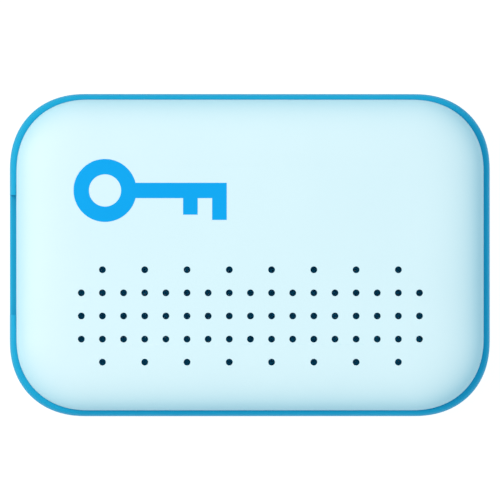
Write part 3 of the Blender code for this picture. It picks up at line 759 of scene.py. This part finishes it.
def sloped(bm, beyond, share):
    """Lowers what lies further out along X, as solder runs down from a joint."""
    for vertex in bm.verts:
        if abs(vertex.co.x) > beyond * MM:
            vertex.co.z *= share
    return bm


def at_mm(x, y, z=0.0):
    return Vector((x * MM, y * MM, z * MM))


def measured(node):
    """Middle of a node's underside in metres; half length, half width, height in mm."""
    low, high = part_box(node)
    size = high - low
    place = Vector(((low.x + high.x) / 2, (low.y + high.y) / 2, low.z))
    return place, size.x / 2 / MM, size.y / 2 / MM, size.z / MM


def mitred(points):
    """Each point, the direction halfway between its stretches, and the mitre's length."""
    ways = [(b - a).normalized() for a, b in zip(points, points[1:])]
    for before, here, after in zip(ways[:1] + ways, points, ways + ways[-1:]):
        along = (before + after).normalized()
        yield here, along, 1 / max(along.dot(after), 0.5)


def bent_strip(route, radius, width, thickness=LEAF / MM, steps=6):
    """A sprung strip along a rounded XZ route, with rounded long edges."""
    route = filleted([(x * MM, z * MM) for x, z in route], radius * MM, steps=steps)
    edge = 0.02 * MM
    half_y, half_z = width / 2 * MM, thickness / 2 * MM
    section = [(-half_y, edge - half_z), (edge - half_y, -half_z)]
    section += [(half_y - edge, -half_z), (half_y, edge - half_z)]
    section += [(-y, -z) for y, z in section]
    loops = []
    for here, along, stretch in mitred([Vector((x, 0, z)) for x, z in route]):
        normal = Vector((-along.z, 0, along.x)) * stretch
        loops.append([here + normal * z + Vector((0, y, 0)) for y, z in section])
    return solid(loops)


def flat_path(points, width, z_low, z_high):
    """A thin flat track along plan points in metres, with mitred corners."""
    left, right = [], []
    for here, along, stretch in mitred([Vector(point) for point in points]):
        side = Vector((-along.y, along.x)) * width / 2 * stretch
        left.append(tuple(here + side))
        right.append(tuple(here - side))
    plan = right + left[::-1]
    return extruded(plan, z_low, z_high)


def rounded_plan(place, half_x, half_y, corner, inset=0.0):
    """A rectangle with round corners, moved inwards."""
    radius = max(corner - inset, 0.02)
    points = []
    for quarter, (side_x, side_y) in enumerate(((1, 1), (-1, 1), (-1, -1), (1, -1))):
        for step in range(7):
            angle = math.pi / 2 * (quarter + step / 6)
            x = side_x * (half_x - inset - radius) + radius * math.cos(angle)
            y = side_y * (half_y - inset - radius) + radius * math.sin(angle)
            points.append((place.x + x * MM, place.y + y * MM))
    return points


# ---- sounder and foam parts


def woven_threads(low, high, pitch, half_width, half_height):
    """Flat threads that pass over and under each other, both ways."""
    middle_z = (low.z + high.z) / 2
    swing = (high.z - low.z) / 2 - half_height
    counts = [int((high[axis] - low[axis]) / pitch) for axis in (0, 1)]
    starts = [(low[axis] + high[axis] - (counts[axis] - 1) * pitch) / 2 for axis in (0, 1)]
    for axis, other in ((0, 1), (1, 0)):
        for thread in range(counts[other]):
            loops = []
            for step in range(2 * counts[axis] - 1):
                above = (step // 2 + thread + axis) % 2
                lift = 0.0 if step % 2 else swing * (1 if above else -1)
                for side, rise in AROUND:
                    point = [0.0, 0.0, middle_z + lift + rise * half_height]
                    point[axis] = starts[axis] + step * pitch / 2
                    point[other] = starts[other] + thread * pitch + side * half_width
                    loops.append(point)
            yield solid([loops[i:i + 4] for i in range(0, len(loops), 4)])


def sound_mesh():
    """A woven mesh in a thin border, by which it is glued to the ceiling."""
    low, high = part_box("sound_mesh")
    border = 0.35 * MM
    inside = Vector((border, border, 0)) * 0.8
    threads = woven_threads(low + inside, high - inside, 0.30 * MM, 0.125 * MM, 0.02 * MM)
    middle_y = (low.y + high.y) / 2
    loops = []
    for inset, z in ((0.0, low.z), (0.0, high.z), (border, high.z), (border, low.z)):
        x, y = high.x - inset, (high.y - low.y) / 2 - inset
        loops.append([(side_x * x, middle_y + side_y * y, z) for side_x, side_y in AROUND])
    shapes = [(thread, 0) for thread in threads] + [(solid(loops, ring=True), 0)]
    fine("sound_mesh", shapes, [MESH_THREAD], "cover", "mesh_plastic")


def foam_parts():
    """The cell pad and the sounder's ring, with edges pressed in by the die."""
    place, half_x, half_y, height = measured("cell_pad")
    sections = []
    for step in range(9):
        angle = math.pi * (step / 8 - 0.5)
        inset = 0.09 * (1 - math.cos(angle) ** 0.5)
        z = place.z + height / 2 * MM * (1 + math.sin(angle))
        sections.append((rounded_plan(place, half_x, half_y, 0.5, inset), z))
    made = fine("cell_pad", loft(sections), [FOAM], "cover", "foam", 60.0)

    place, outer, _, height = measured("sounder_foam_ring")
    half = 0.3
    profile = []
    for step in range(20):
        angle = 2 * math.pi * step / 20
        bulge, rise = (math.copysign(abs(way) ** 0.45, way) for way in (math.cos(angle), math.sin(angle)))
        profile.append(((outer - half + half * bulge) * MM, height / 2 * MM * (1 + rise)))
    ring = moved(turned(profile, TURN_STEPS), place)
    made = fine("sounder_foam_ring", ring, [FOAM], "cover", "foam", 60.0)


def sounder_discs():
    """The brass disc, and the ceramic disc on it with its silver paint."""
    place, radius, _, thick = measured("sounder_brass_disc")
    fine("sounder_brass_disc", turned_mm(bar(radius, 0, thick), 0.03, place), [BRASS], "cover", "brass")

    place, radius, _, thick = measured("sounder_ceramic_disc")
    paint = 0.012
    body = turned_mm(bar(radius, paint, thick), 0.02, place)
    silver = turned_mm(bar(radius - 0.35, 0, 2 * paint), 0.005, place)
    fine("sounder_ceramic_disc", joined((body, 0), (silver, 1)), [WHITE_CERAMIC, SILVER], "cover", "ceramic")


def sounder_springs():
    """Soldered foot, tall bend and a curled tip that rubs on the disc."""
    for node in ("sounder_spring_brass", "sounder_spring_ceramic"):
        low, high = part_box(node)
        foot, tip = (low.z + LEAF / 2) / MM, (high.z - LEAF / 2) / MM
        route = [(1.9, foot), (0.4, foot), (0.1, foot + 0.2), (0.5, foot + 0.75)]
        route += [(0, tip), (-0.4, tip - 0.16)]
        strip = bent_strip(route, 0.22, 1.0)
        moved(strip, (low.x + 0.48 * MM, (low.y + high.y) / 2, 0))
        fine(node, strip, [SPRING], "case", "spring_metal")


# ---- board


def board_plan():
    """The tag's right-hand end, hollowed round the coin cell."""
    edge = [point for point in outline(BOARD_INSET) if point[0] > BOARD_LEFT]
    count = len(edge) // 2
    upper, lower = edge[:count], edge[count:]
    half_y = max(y for _, y in edge)
    reach = math.acos((BOARD_LEFT - CELL_X) / BOARD_HOLLOW_RADIUS)
    hollow = []
    for step in range(49):
        angle = reach * (1 - step / 24)
        x = CELL_X + BOARD_HOLLOW_RADIUS * math.cos(angle)
        hollow.append((x, BOARD_HOLLOW_RADIUS * math.sin(angle)))
    return lower + upper + [(BOARD_LEFT, half_y)] + hollow + [(BOARD_LEFT, -half_y)]


def beside(node, share_x, share_y):
    """A point at shares of a part's half size from its middle."""
    place, half_x, half_y, _ = measured(node)
    return (place.x + share_x * half_x * MM, place.y + share_y * half_y * MM)


def dogleg(start, end):
    """Straight, then 45 degrees, then straight, as board tracks run."""
    dx, dy = end[0] - start[0], end[1] - start[1]
    slant = min(abs(dx), abs(dy))
    step_x, step_y = math.copysign(slant, dx), math.copysign(slant, dy)
    if abs(dx) > abs(dy):
        first = (start[0] + (dx - step_x) / 2, start[1])
    else:
        first = (start[0], start[1] + (dy - step_y) / 2)
    second = (first[0] + step_x, first[1] + step_y)
    route = [start]
    for point in (first, second, end):
        if math.dist(point, route[-1]) > 0.05 * MM:
            route.append(point)
    return route


# Tracks on the board's top side. Each end is a part and the shares of its half size that beside takes.
TRACKS = (
    ("radio_chip", 1.0, -0.5, "chip_capacitor_1", -1.0, 0),
    ("radio_chip", 1.0, -0.2, "chip_capacitor_2", -1.0, 0),
    ("radio_chip", 1.0, 0.5, "switch_terminal_front", -0.9, 0),
    ("radio_chip", -0.4, 1.0, "radio_crystal", -0.6, -1.0),
    ("radio_chip", 0.0, 1.0, "radio_crystal", 0.7, -1.0),
    ("radio_chip", 0.5, 1.0, "chip_capacitor_4", -0.8, 0),
    ("chip_capacitor_4", 0.8, 0, "chip_antenna", 0.8, -1.0),
    ("chip_antenna", -1.0, 0, "antenna_inductor", 0.9, 0),
    ("radio_chip", -0.6, -1.0, "chip_capacitor_3", 0, 0.9),
    ("chip_capacitor_1", 1.0, 0, "chip_resistor_1", -1.0, 0),
    ("chip_resistor_1", 1.0, 0, "chip_resistor_2", -1.0, 0),
    ("chip_resistor_2", 1.0, 0, "clock_crystal", 0, -1.0),
    ("sounder_driver", 0, 1.0, "sounder_spring_brass", 0.5, -0.9),
    ("sounder_driver", 0.66, -1.0, "chip_resistor_3", -1.0, 0),
    ("chip_resistor_3", 1.0, 0, "reservoir_capacitor", -1.0, 0),
    ("reservoir_capacitor", 0.9, 1.0, "sounder_inductor", -0.7, -1.0),
    ("sounder_inductor", -1.0, 0, "sounder_spring_ceramic", 0.9, 0.9),
)
# Tracks that end in a via: where they start, and how far away the via is in millimetres.
VIAS = (
    ("antenna_inductor", -1.0, 0, -1.0, -0.8),
    ("chip_capacitor_3", 0, -1.0, 0.4, -1.4),
    ("sounder_driver", -0.66, -1.0, -1.1, -0.7),
    ("switch_terminal_back", 1.0, 0, 0.3, -1.5),
    ("clock_crystal", 0.5, 1.0, 0.1, 0.9),
    ("radio_chip", -1.0, 0.3, -0.8, 0.6),
    ("radio_chip", -1.0, -0.1, -0.9, -0.3),
    ("sounder_inductor", 0.4, 1.0, 0.6, 0.7),
    ("reservoir_capacitor", -0.4, -1.0, -0.9, -0.6),
    ("chip_capacitor_2", 1.0, 0, 0.7, 0.4),
)


def circuit_board():
    """Glass board with mask, tracks under it, vias, gold pads and white print."""
    steps = []
    for radius, places in ((SCREW_RADIUS, SCREW_PLACES.values()), (PIN_RADIUS, PIN_PLACES)):
        for place in places:
            steps.append(cut(turned(bar(radius + 2 * GAP, 0, HEIGHT), POST_STEPS, *place), 1))
    slab = carve(extruded(board_plan(), BOARD_Z, BOARD_TOP_Z), [MASK_GREEN, GLASS_EDGE], steps)
    for face in slab.faces:
        face.normal_update()
        if abs(face.normal.z) < 0.5:
            face.material_index = 1

    skin = 0.012 * MM
    flat = (BOARD_TOP_Z - skin, BOARD_TOP_Z + skin)
    raised = (BOARD_TOP_Z - skin, BOARD_TOP_Z + 2 * skin)
    tracks = [dogleg(beside(*track[:3]), beside(*track[3:])) for track in TRACKS]
    rings = []
    for *start, dx, dy in VIAS:
        x, y = beside(*start)
        via = (x + dx * MM, y + dy * MM)
        tracks.append(dogleg((x, y), via))
        rings.append(turned(bar(0.26 * MM, *raised, 0.11 * MM), 24, *via))
    rings += [turned(bar(1.45 * MM, *flat, 0.74 * MM), POST_STEPS, *place) for place in SCREW_PLACES.values()]
    for number in range(5):
        x, y = (6.9 + 1.15 * number) * MM, -0.75 * MM
        rings.append(turned(bar(0.38 * MM, *raised), 32, x, y))
    shapes = [(slab, None)] + [(flat_path(route, 0.18 * MM, *flat), 2) for route in tracks]
    shapes += [(ring, 3) for ring in rings] + [(shape, 4) for shape in board_print(*flat)]
    finishes = [MASK_GREEN, GLASS_EDGE, MASK_COPPER, GOLD, WHITE_PRINT]
    fine("circuit_board", shapes, finishes, "case", "board", 30.0)


def board_print(z_low, z_high):
    """White corners round larger parts, and a dot at the chip's first leg."""
    shapes = []
    margins = {"radio_chip": 0.3, "switch_base": 0.25, "sounder_inductor": 0.3, "clock_crystal": 0.25}
    arm = 0.7 * MM
    for node, margin in margins.items():
        place, half_x, half_y, _ = measured(node)
        for side_x, side_y in CORNERS:
            x, y = place.x + side_x * (half_x + margin) * MM, place.y + side_y * (half_y + margin) * MM
            corner = [(x - side_x * arm, y), (x, y), (x, y - side_y * arm)]
            shapes.append(flat_path(corner, 0.11 * MM, z_low, z_high))
    place, half_x, half_y, _ = measured("radio_chip")
    spot = place + at_mm(-half_x - 0.35, half_y + 0.75)
    return shapes + [turned(bar(0.14 * MM, z_low, z_high), 24, *spot.xy)]


def threaded(z_low, z_high, radius, depth, pitch):
    """A shank with a helical thread and a pointed lower end."""
    rows = int((z_high - z_low) / pitch * 10)
    loops = []
    for row in range(rows + 1):
        height = (z_high - z_low) * row / rows
        core = radius * min(1.0, 0.35 + 0.65 * height / (0.45 * MM))
        loop = []
        for step in range(32):
            angle = 2 * math.pi * step / 32
            phase = (height / pitch - step / 32) % 1.0
            r = core - depth * min(1.0, abs(2 * phase - 1) * 1.6)
            loop.append((r * math.cos(angle), r * math.sin(angle), z_low + height))
        loops.append(loop)
    return solid(loops)


def board_screws():
    """Pan heads with a cross whose floor narrows, on threaded shanks."""
    head = [(0, -0.05), (0.5, -0.05), (0.5, 0), (1.1, 0), (1.1, 0.26), (1.02, 0.4), (0.75, 0.5)]
    head += [(0.4, 0.54), (0, 0.55)]
    long_half, short_half = 0.62, 0.11
    for name, place in SCREW_PLACES.items():
        cross = []
        for half_x, half_y in ((long_half, short_half), (short_half, long_half)):
            wall = box_mm((-half_x, -half_y, 0.2), (half_x, half_y, 1.0))
            for vertex in wall.verts:
                if vertex.co.z < 0.5 * MM:
                    vertex.co.x *= 0.45 if half_x > half_y else 0.8
                    vertex.co.y *= 0.45 if half_y > half_x else 0.8
            cross.append(cut(wall))
        top = carve(turned_mm(head, 0.05), [STEEL], cross)
        shank = threaded(SCREW_TIP_Z - PART_Z, -0.02 * MM, SCREW_RADIUS, 0.13 * MM, 0.32 * MM)
        screw = moved(joined((top, 0), (shank, 0)), (*place, PART_Z))
        fine(f"board_screw_{name}", screw, [STEEL], "case", "steel")


# ---- board parts


def radio_chip():
    """A leadless chip: lands along all four sides, and a dimple at the first."""
    place, half, _, height = measured("radio_chip")
    body = box_mm((-half, -half, 0.02), (half, half, height), 0.06, place)
    low, high = height - 0.05, height + 0.1
    dimple = turned_mm([(0, low), (0.2, low), (0.24, high), (0, high)], 0.02)
    moved(dimple, place + at_mm(0.55 - half, half - 0.55))
    shapes = [(carve(body, [EPOXY], [cut(dimple)]), 0)]
    for side in range(4):
        for number in range(8):
            y = (number - 3.5) * 0.45
            land = box_mm((half - 0.25, y - 0.11, 0), (half + 0.03, y + 0.11, 0.22), 0.02)
            solder = box_mm((half + 0.02, y - 0.12, 0), (half + 0.26, y + 0.12, 0.12), 0.03)
            for shape, index in ((land, 1), (sloped(solder, half + 0.14, 0.35), 2)):
                shapes.append((moved(shape, place, math.pi / 2 * side), index))
    fine("radio_chip", shapes, [EPOXY, GOLD, SOLDER], "case", "epoxy")


def crystals():
    """Ceramic trays closed by a welded metal lid, with soldered corner pads."""
    for node in ("radio_crystal", "clock_crystal"):
        place, half_x, half_y, height = measured(node)
        shapes = []
        tray = (0, 0, 0.55, 0.05, 2, 0)
        seam = (0.05, 0.5, 0.62, 0.02, 2, 2)
        lid = (0.1, 0.5, 1, 0.07, 3, 1)
        for inset, low, high, bevel, segments, index in (tray, seam, lid):
            x, y = half_x - inset, half_y - inset
            layer = box_mm((-x, -y, height * low), (x, y, height * high), bevel, place, segments)
            shapes.append((layer, index))
        for side_x, side_y in CORNERS:
            start = (side_x * (half_x - 0.45), side_y * (half_y - 0.45), 0)
            end = (side_x * (half_x + 0.06), side_y * (half_y + 0.02), 0.1)
            shapes.append((box_mm(start, end, 0.03, place), 3))
        fine(node, shapes, [TAN_CERAMIC, STEEL, GOLD, SOLDER], "case", "steel")


def end_caps(half_x, half_y, height, wrap, place, turn=0.0):
    """Tinned ends that wrap a chip part, each with solder at its foot."""
    skin = 0.012
    shapes = []
    for side in (-1, 1):
        start = (side * (half_x - wrap), -half_y - skin, 0)
        cap = box_mm(start, (side * (half_x + skin), half_y + skin, height), 0.03)
        solder = box_mm((side * half_x, -half_y, 0), (side * (half_x + 0.22), half_y, height * 0.5), 0.03)
        shapes += [(moved(shape, place, turn), 1) for shape in (cap, sloped(solder, half_x + 0.11, 0.2))]
    return shapes


def two_ended_parts():
    """Capacitors, resistors and the small inductor."""
    kinds = {"reservoir_capacitor": (TAN_CERAMIC, 0.45, "capacitor_ceramic")}
    for number in range(1, 5):
        kinds[f"chip_capacitor_{number}"] = (TAN_CERAMIC, 0.24, "capacitor_ceramic")
    for number in range(1, 4):
        kinds[f"chip_resistor_{number}"] = (WHITE_CERAMIC, 0.22, "resistor_ceramic")
    kinds["antenna_inductor"] = (WHITE_CERAMIC, 0.24, "ceramic")
    for node, (finish, wrap, slot) in kinds.items():
        place, half_x, half_y, height = measured(node)
        turn = 0.0
        if half_y > half_x:
            half_x, half_y, turn = half_y, half_x, math.pi / 2
        body = box_mm((-half_x, -half_y, 0.01), (half_x, half_y, height - 0.012), 0.025)
        shapes = [(moved(body, place, turn), 0)] + end_caps(half_x, half_y, height, wrap, place, turn)
        finishes = [finish, SOLDER]
        if "resistor" in node:
            start = (wrap - half_x, 0.02 - half_y, height - 0.05)
            shapes.append((box_mm(start, (half_x - wrap, half_y - 0.02, height), 0.01, place), 2))
            finishes.append(RESISTOR_BLACK)
        if "inductor" in node:
            for number in range(4):
                x = (number - 1.5) * 0.12
                start, end = (x - 0.03, -half_y - 0.01, 0.02), (x + 0.03, half_y + 0.01, height)
                shapes.append((box_mm(start, end, 0.012, place), 2))
            finishes.append(COPPER)
        fine(node, shapes, finishes, "case", slot)


def chip_antenna():
    """A ceramic block with a folded silver line printed on its top."""
    place, half_x, half_y, height = measured("chip_antenna")
    shapes = [(box_mm((-half_x, -half_y, 0.01), (half_x, half_y, height - 0.012), 0.05, place), 0)]
    shapes += end_caps(half_x, half_y, height, 0.3, place)
    folds = []
    for number in range(9):
        x, y = 0.42 - half_x + number * 0.295, (half_y - 0.25) * (1 if number % 2 else -1)
        folds += [(place + at_mm(x, -y)).xy, (place + at_mm(x, y)).xy]
    top = place.z + height * MM
    shapes.append((flat_path(folds, 0.13 * MM, top - 0.02 * MM, top), 2))
    fine("chip_antenna", shapes, [WHITE_CERAMIC, SOLDER, SILVER], "case", "ceramic")


def sounder_inductor():
    """A ferrite drum wound with copper, its top and foot with cut corners."""
    place, half, _, height = measured("sounder_inductor")
    flange, edge = 0.26, 0.05
    shapes = []
    for outer, inner in ((0, flange), (height, height - flange)):
        bevelled = outer + math.copysign(edge, inner - outer)
        levels = sorted([(outer, edge), (bevelled, 0.0), (inner, 0.0)])
        plans = [(rounded_plan(place, half, half, 0.55, inset), place.z + z * MM) for z, inset in levels]
        shapes.append((loft(plans), 0))
    shapes.append((turned_mm(bar(0.9, 0.2, 0.9), 0.01, place), 0))
    wire, radius = 0.06, 1.30
    for row in range(5):
        z = 0.35 + 0.115 * row
        angles = [math.pi / 4 * step for step in range(8)]
        ring = [((radius + wire * math.cos(a)) * MM, (z + wire * math.sin(a)) * MM) for a in angles]
        shapes.append((moved(turned(ring, POST_STEPS), place), 1))
    shapes.append((turned_mm(bar(1.27, 0.28, 0.82, 0.88), 0.01, place), 1))
    for side in (-1, 1):
        shapes.append((box_mm((side * 0.9, -0.9, 0), (side * 1.56, 0.9, 0.12), 0.03, place), 2))
    fine("sounder_inductor", shapes, [FERRITE, COPPER, SOLDER], "case", "ferrite")


def sounder_driver():
    """A small moulded transistor with three bent legs."""
    place, *_ = measured("sounder_driver")
    sections = []
    for inset, z in ((0.12, 0.10), (0.02, 0.50), (0.02, 0.58), (0.14, 0.97), (0.19, 1.0)):
        sections.append((rounded_plan(place, 1.45, 0.65, 0.16, inset), place.z + z * MM))
    shapes = [(loft(sections), 0)]
    route = [(0.5, 0.54), (0.78, 0.54), (0.9, 0.075), (1.2, 0.075)]
    for x, side in ((-0.95, -1), (0.95, -1), (0, 1)):
        leg = bent_strip(route, 0.1, 0.38, 0.13, 4)
        shapes.append((moved(leg, place + at_mm(x, 0), side * math.pi / 2), 1))
    fine("sounder_driver", shapes, [EPOXY, SOLDER], "case", "epoxy")


# ---- switch

SWITCH_HALF = 2.25
TERMINAL_Y = 1.5
PIN_OFFSET = 1.8


def push_switch():
    """Moulded base with four melted pins, two terminals and the snap dome."""
    place = SWITCH_PLACE
    half = SWITCH_HALF
    cuts = [cut(turned_mm(bar(1.85, 0.35, 2), 0.05, place))]
    for y in (-TERMINAL_Y, TERMINAL_Y):
        cuts.append(cut(box_mm((-2 * half, y - 0.37, -1), (2 * half, y + 0.37, 0.22), 0, place)))
    shapes = [(carve(box_mm((-half, -half, 0), (half, half, 1.05), 0.1, place, 3), [EPOXY], cuts), 0)]
    pin = [(0, 1.0), (0.16, 1.0), (0.16, 1.26), (0.26, 1.27), (0.26, 1.31), (0.16, 1.36), (0, 1.38)]
    for side_x, side_y in CORNERS:
        shapes.append((turned_mm(pin, 0.02, place + at_mm(side_x * PIN_OFFSET, side_y * PIN_OFFSET)), 0))
    fine("switch_base", shapes, [EPOXY], "case", "epoxy")

    for name, y in (("front", -TERMINAL_Y), ("back", TERMINAL_Y)):
        shapes = [(box_mm((-half - 0.5, y - 0.3, 0), (half + 0.5, y + 0.3, 0.15), 0.03, place), 0)]
        for side in (-1, 1):
            start, end = (side * (half + 0.2), y - 0.38, 0), (side * (half + 0.5), y + 0.38, 0.11)
            shapes.append((box_mm(start, end, 0.04, place), 1))
        fine(f"switch_terminal_{name}", shapes, [SPRING, SOLDER], "case", "spring_metal")

    profile = [(0.17 * step, 0.62 - 0.21 * (step / 10) ** 2) for step in range(11)]
    profile += [(radius, z + 0.055) for radius, z in profile[::-1]]
    made = fine("switch_dome", turned_mm(profile, 0.0, place), [STEEL], "case", "steel")
    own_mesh(made)


def switch_frame():
    """The plate that holds the plunger in: ears, round opening, pin holes."""
    place = SWITCH_PLACE
    steps = []
    for side in (-1, 1):
        steps.append(add(box_mm((side * 2.3, -0.9, 0.4), (side * 2.45, 0.9, 1.2), 0.03, place)))
    steps.append(cut(turned_mm(bar(1.1, 0, 3), 0.0, place)))
    for side_x, side_y in CORNERS:
        spot = place + at_mm(side_x * PIN_OFFSET, side_y * PIN_OFFSET)
        steps.append(cut(turned_mm(bar(0.2, 0.9, 3), 0.0, spot)))
    plate = box_mm((-2.45, -2.2, 1.1), (2.45, 2.2, 1.25), 0.05, place)
    fine("switch_frame", carve(plate, [STEEL], steps), [STEEL], "case", "steel")


def switch_plunger():
    profile = [(0, 0.73), (1.5, 0.73), (1.5, 1.0), (1.0, 1.0), (1.0, 1.47), (0.92, 1.55), (0, 1.55)]
    body = turned_mm(profile, 0.06, SWITCH_PLACE)
    fine("switch_plunger", body, [PLUNGER], "button", "plunger_plastic")


# ---- coin cell and contacts


def coin_cell():
    """Can, gasket, cap and the three discs inside."""
    place = Vector((CELL_X, 0, CELL_Z))
    top = CELL_HEIGHT / MM
    can = [(0, top - 0.02), (6.9, top - 0.02), (7.05, top), (7.7, top), (8, top - 0.3), (8, 0.45)]
    can += [(7.8, 0.17), (7.35, 0.12), (7.35, 0.35), (7.62, 0.42), (7.75, 0.6), (7.75, top - 0.35)]
    can += [(7.65, top - 0.25), (0, top - 0.25)]
    cap = [(0, 0.02), (6, 0.02), (6.2, 0), (6.4, 0), (6.62, 0.14), (6.88, 0.57), (7.2, 0.66), (7.41, 0.86)]
    cap += [(7.41, 1.8), (7.22, 1.8), (7.22, 0.95), (7.08, 0.84), (6.72, 0.76), (6.42, 0.24), (6.3, 0.2)]
    cap += [(0, 0.2)]
    gasket = [(6.98, 0.1), (7.29, 0.08), (7.29, 0.4), (7.56, 0.5), (7.69, 0.68), (7.69, 2.1)]
    gasket += [(7.47, 2.1), (7.47, 0.82), (7.24, 0.58), (6.98, 0.5)]
    plus = []
    for half_x, half_y in ((1.1, 0.16), (0.16, 1.1)):
        start, end = (-half_x, -half_y, top - 0.06), (half_x, half_y, top + 0.3)
        plus.append(cut(box_mm(start, end, 0, place + at_mm(-4.2, -4.2))))
    shapes = {
        "cell_can": (can, 0.12, CELL_STEEL, "cell_steel"),
        "cell_gasket": (gasket, 0.04, NYLON, "nylon"),
        "cell_cap": (cap, 0.08, CELL_STEEL, "cell_steel"),
        "cell_lithium_disc": (bar(6.0, 0.26, 0.9), 0.08, LITHIUM, "lithium"),
        "cell_separator": (bar(7.1, 0.96, 1.08), 0.03, SEPARATOR, "separator"),
        "cell_cathode": (bar(7.0, 1.14, 2.88), 0.1, CATHODE, "cathode"),
    }
    for node, (profile, radius, finish, slot) in shapes.items():
        bm = turned_mm(profile, radius, place)
        if node == "cell_can":
            bm = carve(bm, [finish], plus)
        fine(node, bm, [finish], "cell", slot)


def cell_contacts():
    """The strip under the cell, and the leaf that bears on the cell's side."""
    press, space = 0.02, (GAP + LEAF / 2) / MM
    low, under_board = CELL_Z / MM - space - press, BOARD_Z / MM - space
    strip = bent_strip([(-9.5, low), (3.1, low), (3.6, under_board), (6, under_board)], 0.35, 3.0)
    slots = [cut(box_mm((-8.9, y - 0.09, 0.3), (-3.0, y + 0.09, 1.4))) for y in (-0.55, 0.55)]
    fine("cell_contact_lower", carve(strip, [SPRING], slots), [SPRING], "case", "spring_metal")

    foot, touch = (PART_Z + LEAF / 2) / MM, CELL_RADIUS / MM + space + press
    route = [(10.6, foot), (9.3, foot), (8.85, foot + 0.4), (touch, foot + 0.95), (touch + 0.3, foot + 1.5)]
    spring = bent_strip(route, 0.3, 2.2)
    spring = carve(spring, [SPRING], [cut(box_mm((7.5, -0.1, 2.9), (9.1, 0.1, 5.0)))])
    moved(spring, (CELL_X, 0, 0), math.radians(36))
    fine("cell_contact_side", spring, [SPRING], "case", "spring_metal")


# ---- stage


def softbox(name, place, size, power, colour=(1, 1, 1)):
    """A rectangular light that faces the origin."""
    light = bpy.data.lights.new(name, "AREA")
    light.shape = "RECTANGLE"
    light.size, light.size_y = size
    light.energy = power
    light.color = colour
    obj = new_object(name, light)
    obj.location = place
    obj.rotation_euler = (-Vector(place)).to_track_quat("-Z", "Y").to_euler()


def studio():
    """A pale glowing floor, a bluish sky, a warm light upper left, a white one above."""
    scene = bpy.context.scene
    scene.view_settings.view_transform = "Standard"
    world = bpy.data.worlds.new("studio")
    scene.world = world
    world.use_nodes = True
    background = world.node_tree.nodes["Background"]
    background.inputs["Color"].default_value = (0.55, 0.86, 1.0, 1)
    background.inputs["Strength"].default_value = 0.62

    made = bpy.data.materials.new("studio_floor")
    made.use_nodes = True
    shader = made.node_tree.nodes["Principled BSDF"]
    looks = {"Base Color": (0.12, 0.12, 0.12, 1), "Roughness": 0.9}
    looks |= {"Emission Color": (1, 1, 1, 1), "Emission Strength": 0.95}
    for name, value in looks.items():
        shader.inputs[name].default_value = value
    plate = box(-3, 3, -3, 3, -0.01, -0.02 * MM)
    new_object("studio_floor", mesh_from("studio_floor", plate, [made]))

    softbox("key", (-0.27, 0.08, 0.30), (0.24, 0.30), 1.14, (1.0, 0.77, 0.64))
    softbox("top", (0.0, 0.05, 0.50), (0.5, 0.5), 0.53)


def camera():
    """Almost straight down, from slightly left of and below the middle."""
    data = bpy.data.cameras.new("camera")
    data.sensor_width = 36.0
    data.lens = 600.0
    data.clip_start = 0.01
    data.clip_end = 10
    obj = new_object("camera", data)
    pixels_per_mm = 13.145
    distance = 500 / pixels_per_mm * MM * data.lens / data.sensor_width
    tilt_x, tilt_y = math.radians(-0.8), math.radians(-0.4)
    back = Vector((math.tan(tilt_x), math.tan(tilt_y), 1)).normalized()
    obj.location = Vector((0.0106 * MM, 0.386 * MM, 2.6 * MM)) + back * distance
    right = Vector((0, 1, 0)).cross(back).normalized()
    up = back.cross(right).normalized()
    obj.rotation_euler = Matrix((right, up, back)).transposed().to_euler()
    bpy.context.scene.camera = obj


for build in (
    back_shell, front_cover, key_mark, sound_mesh, foam_parts, sounder_discs, sounder_springs,
    circuit_board, board_screws, radio_chip, crystals, two_ended_parts, chip_antenna,
    sounder_inductor, sounder_driver, push_switch, switch_frame, switch_plunger, coin_cell, cell_contacts,
    studio, camera,
):
    build()
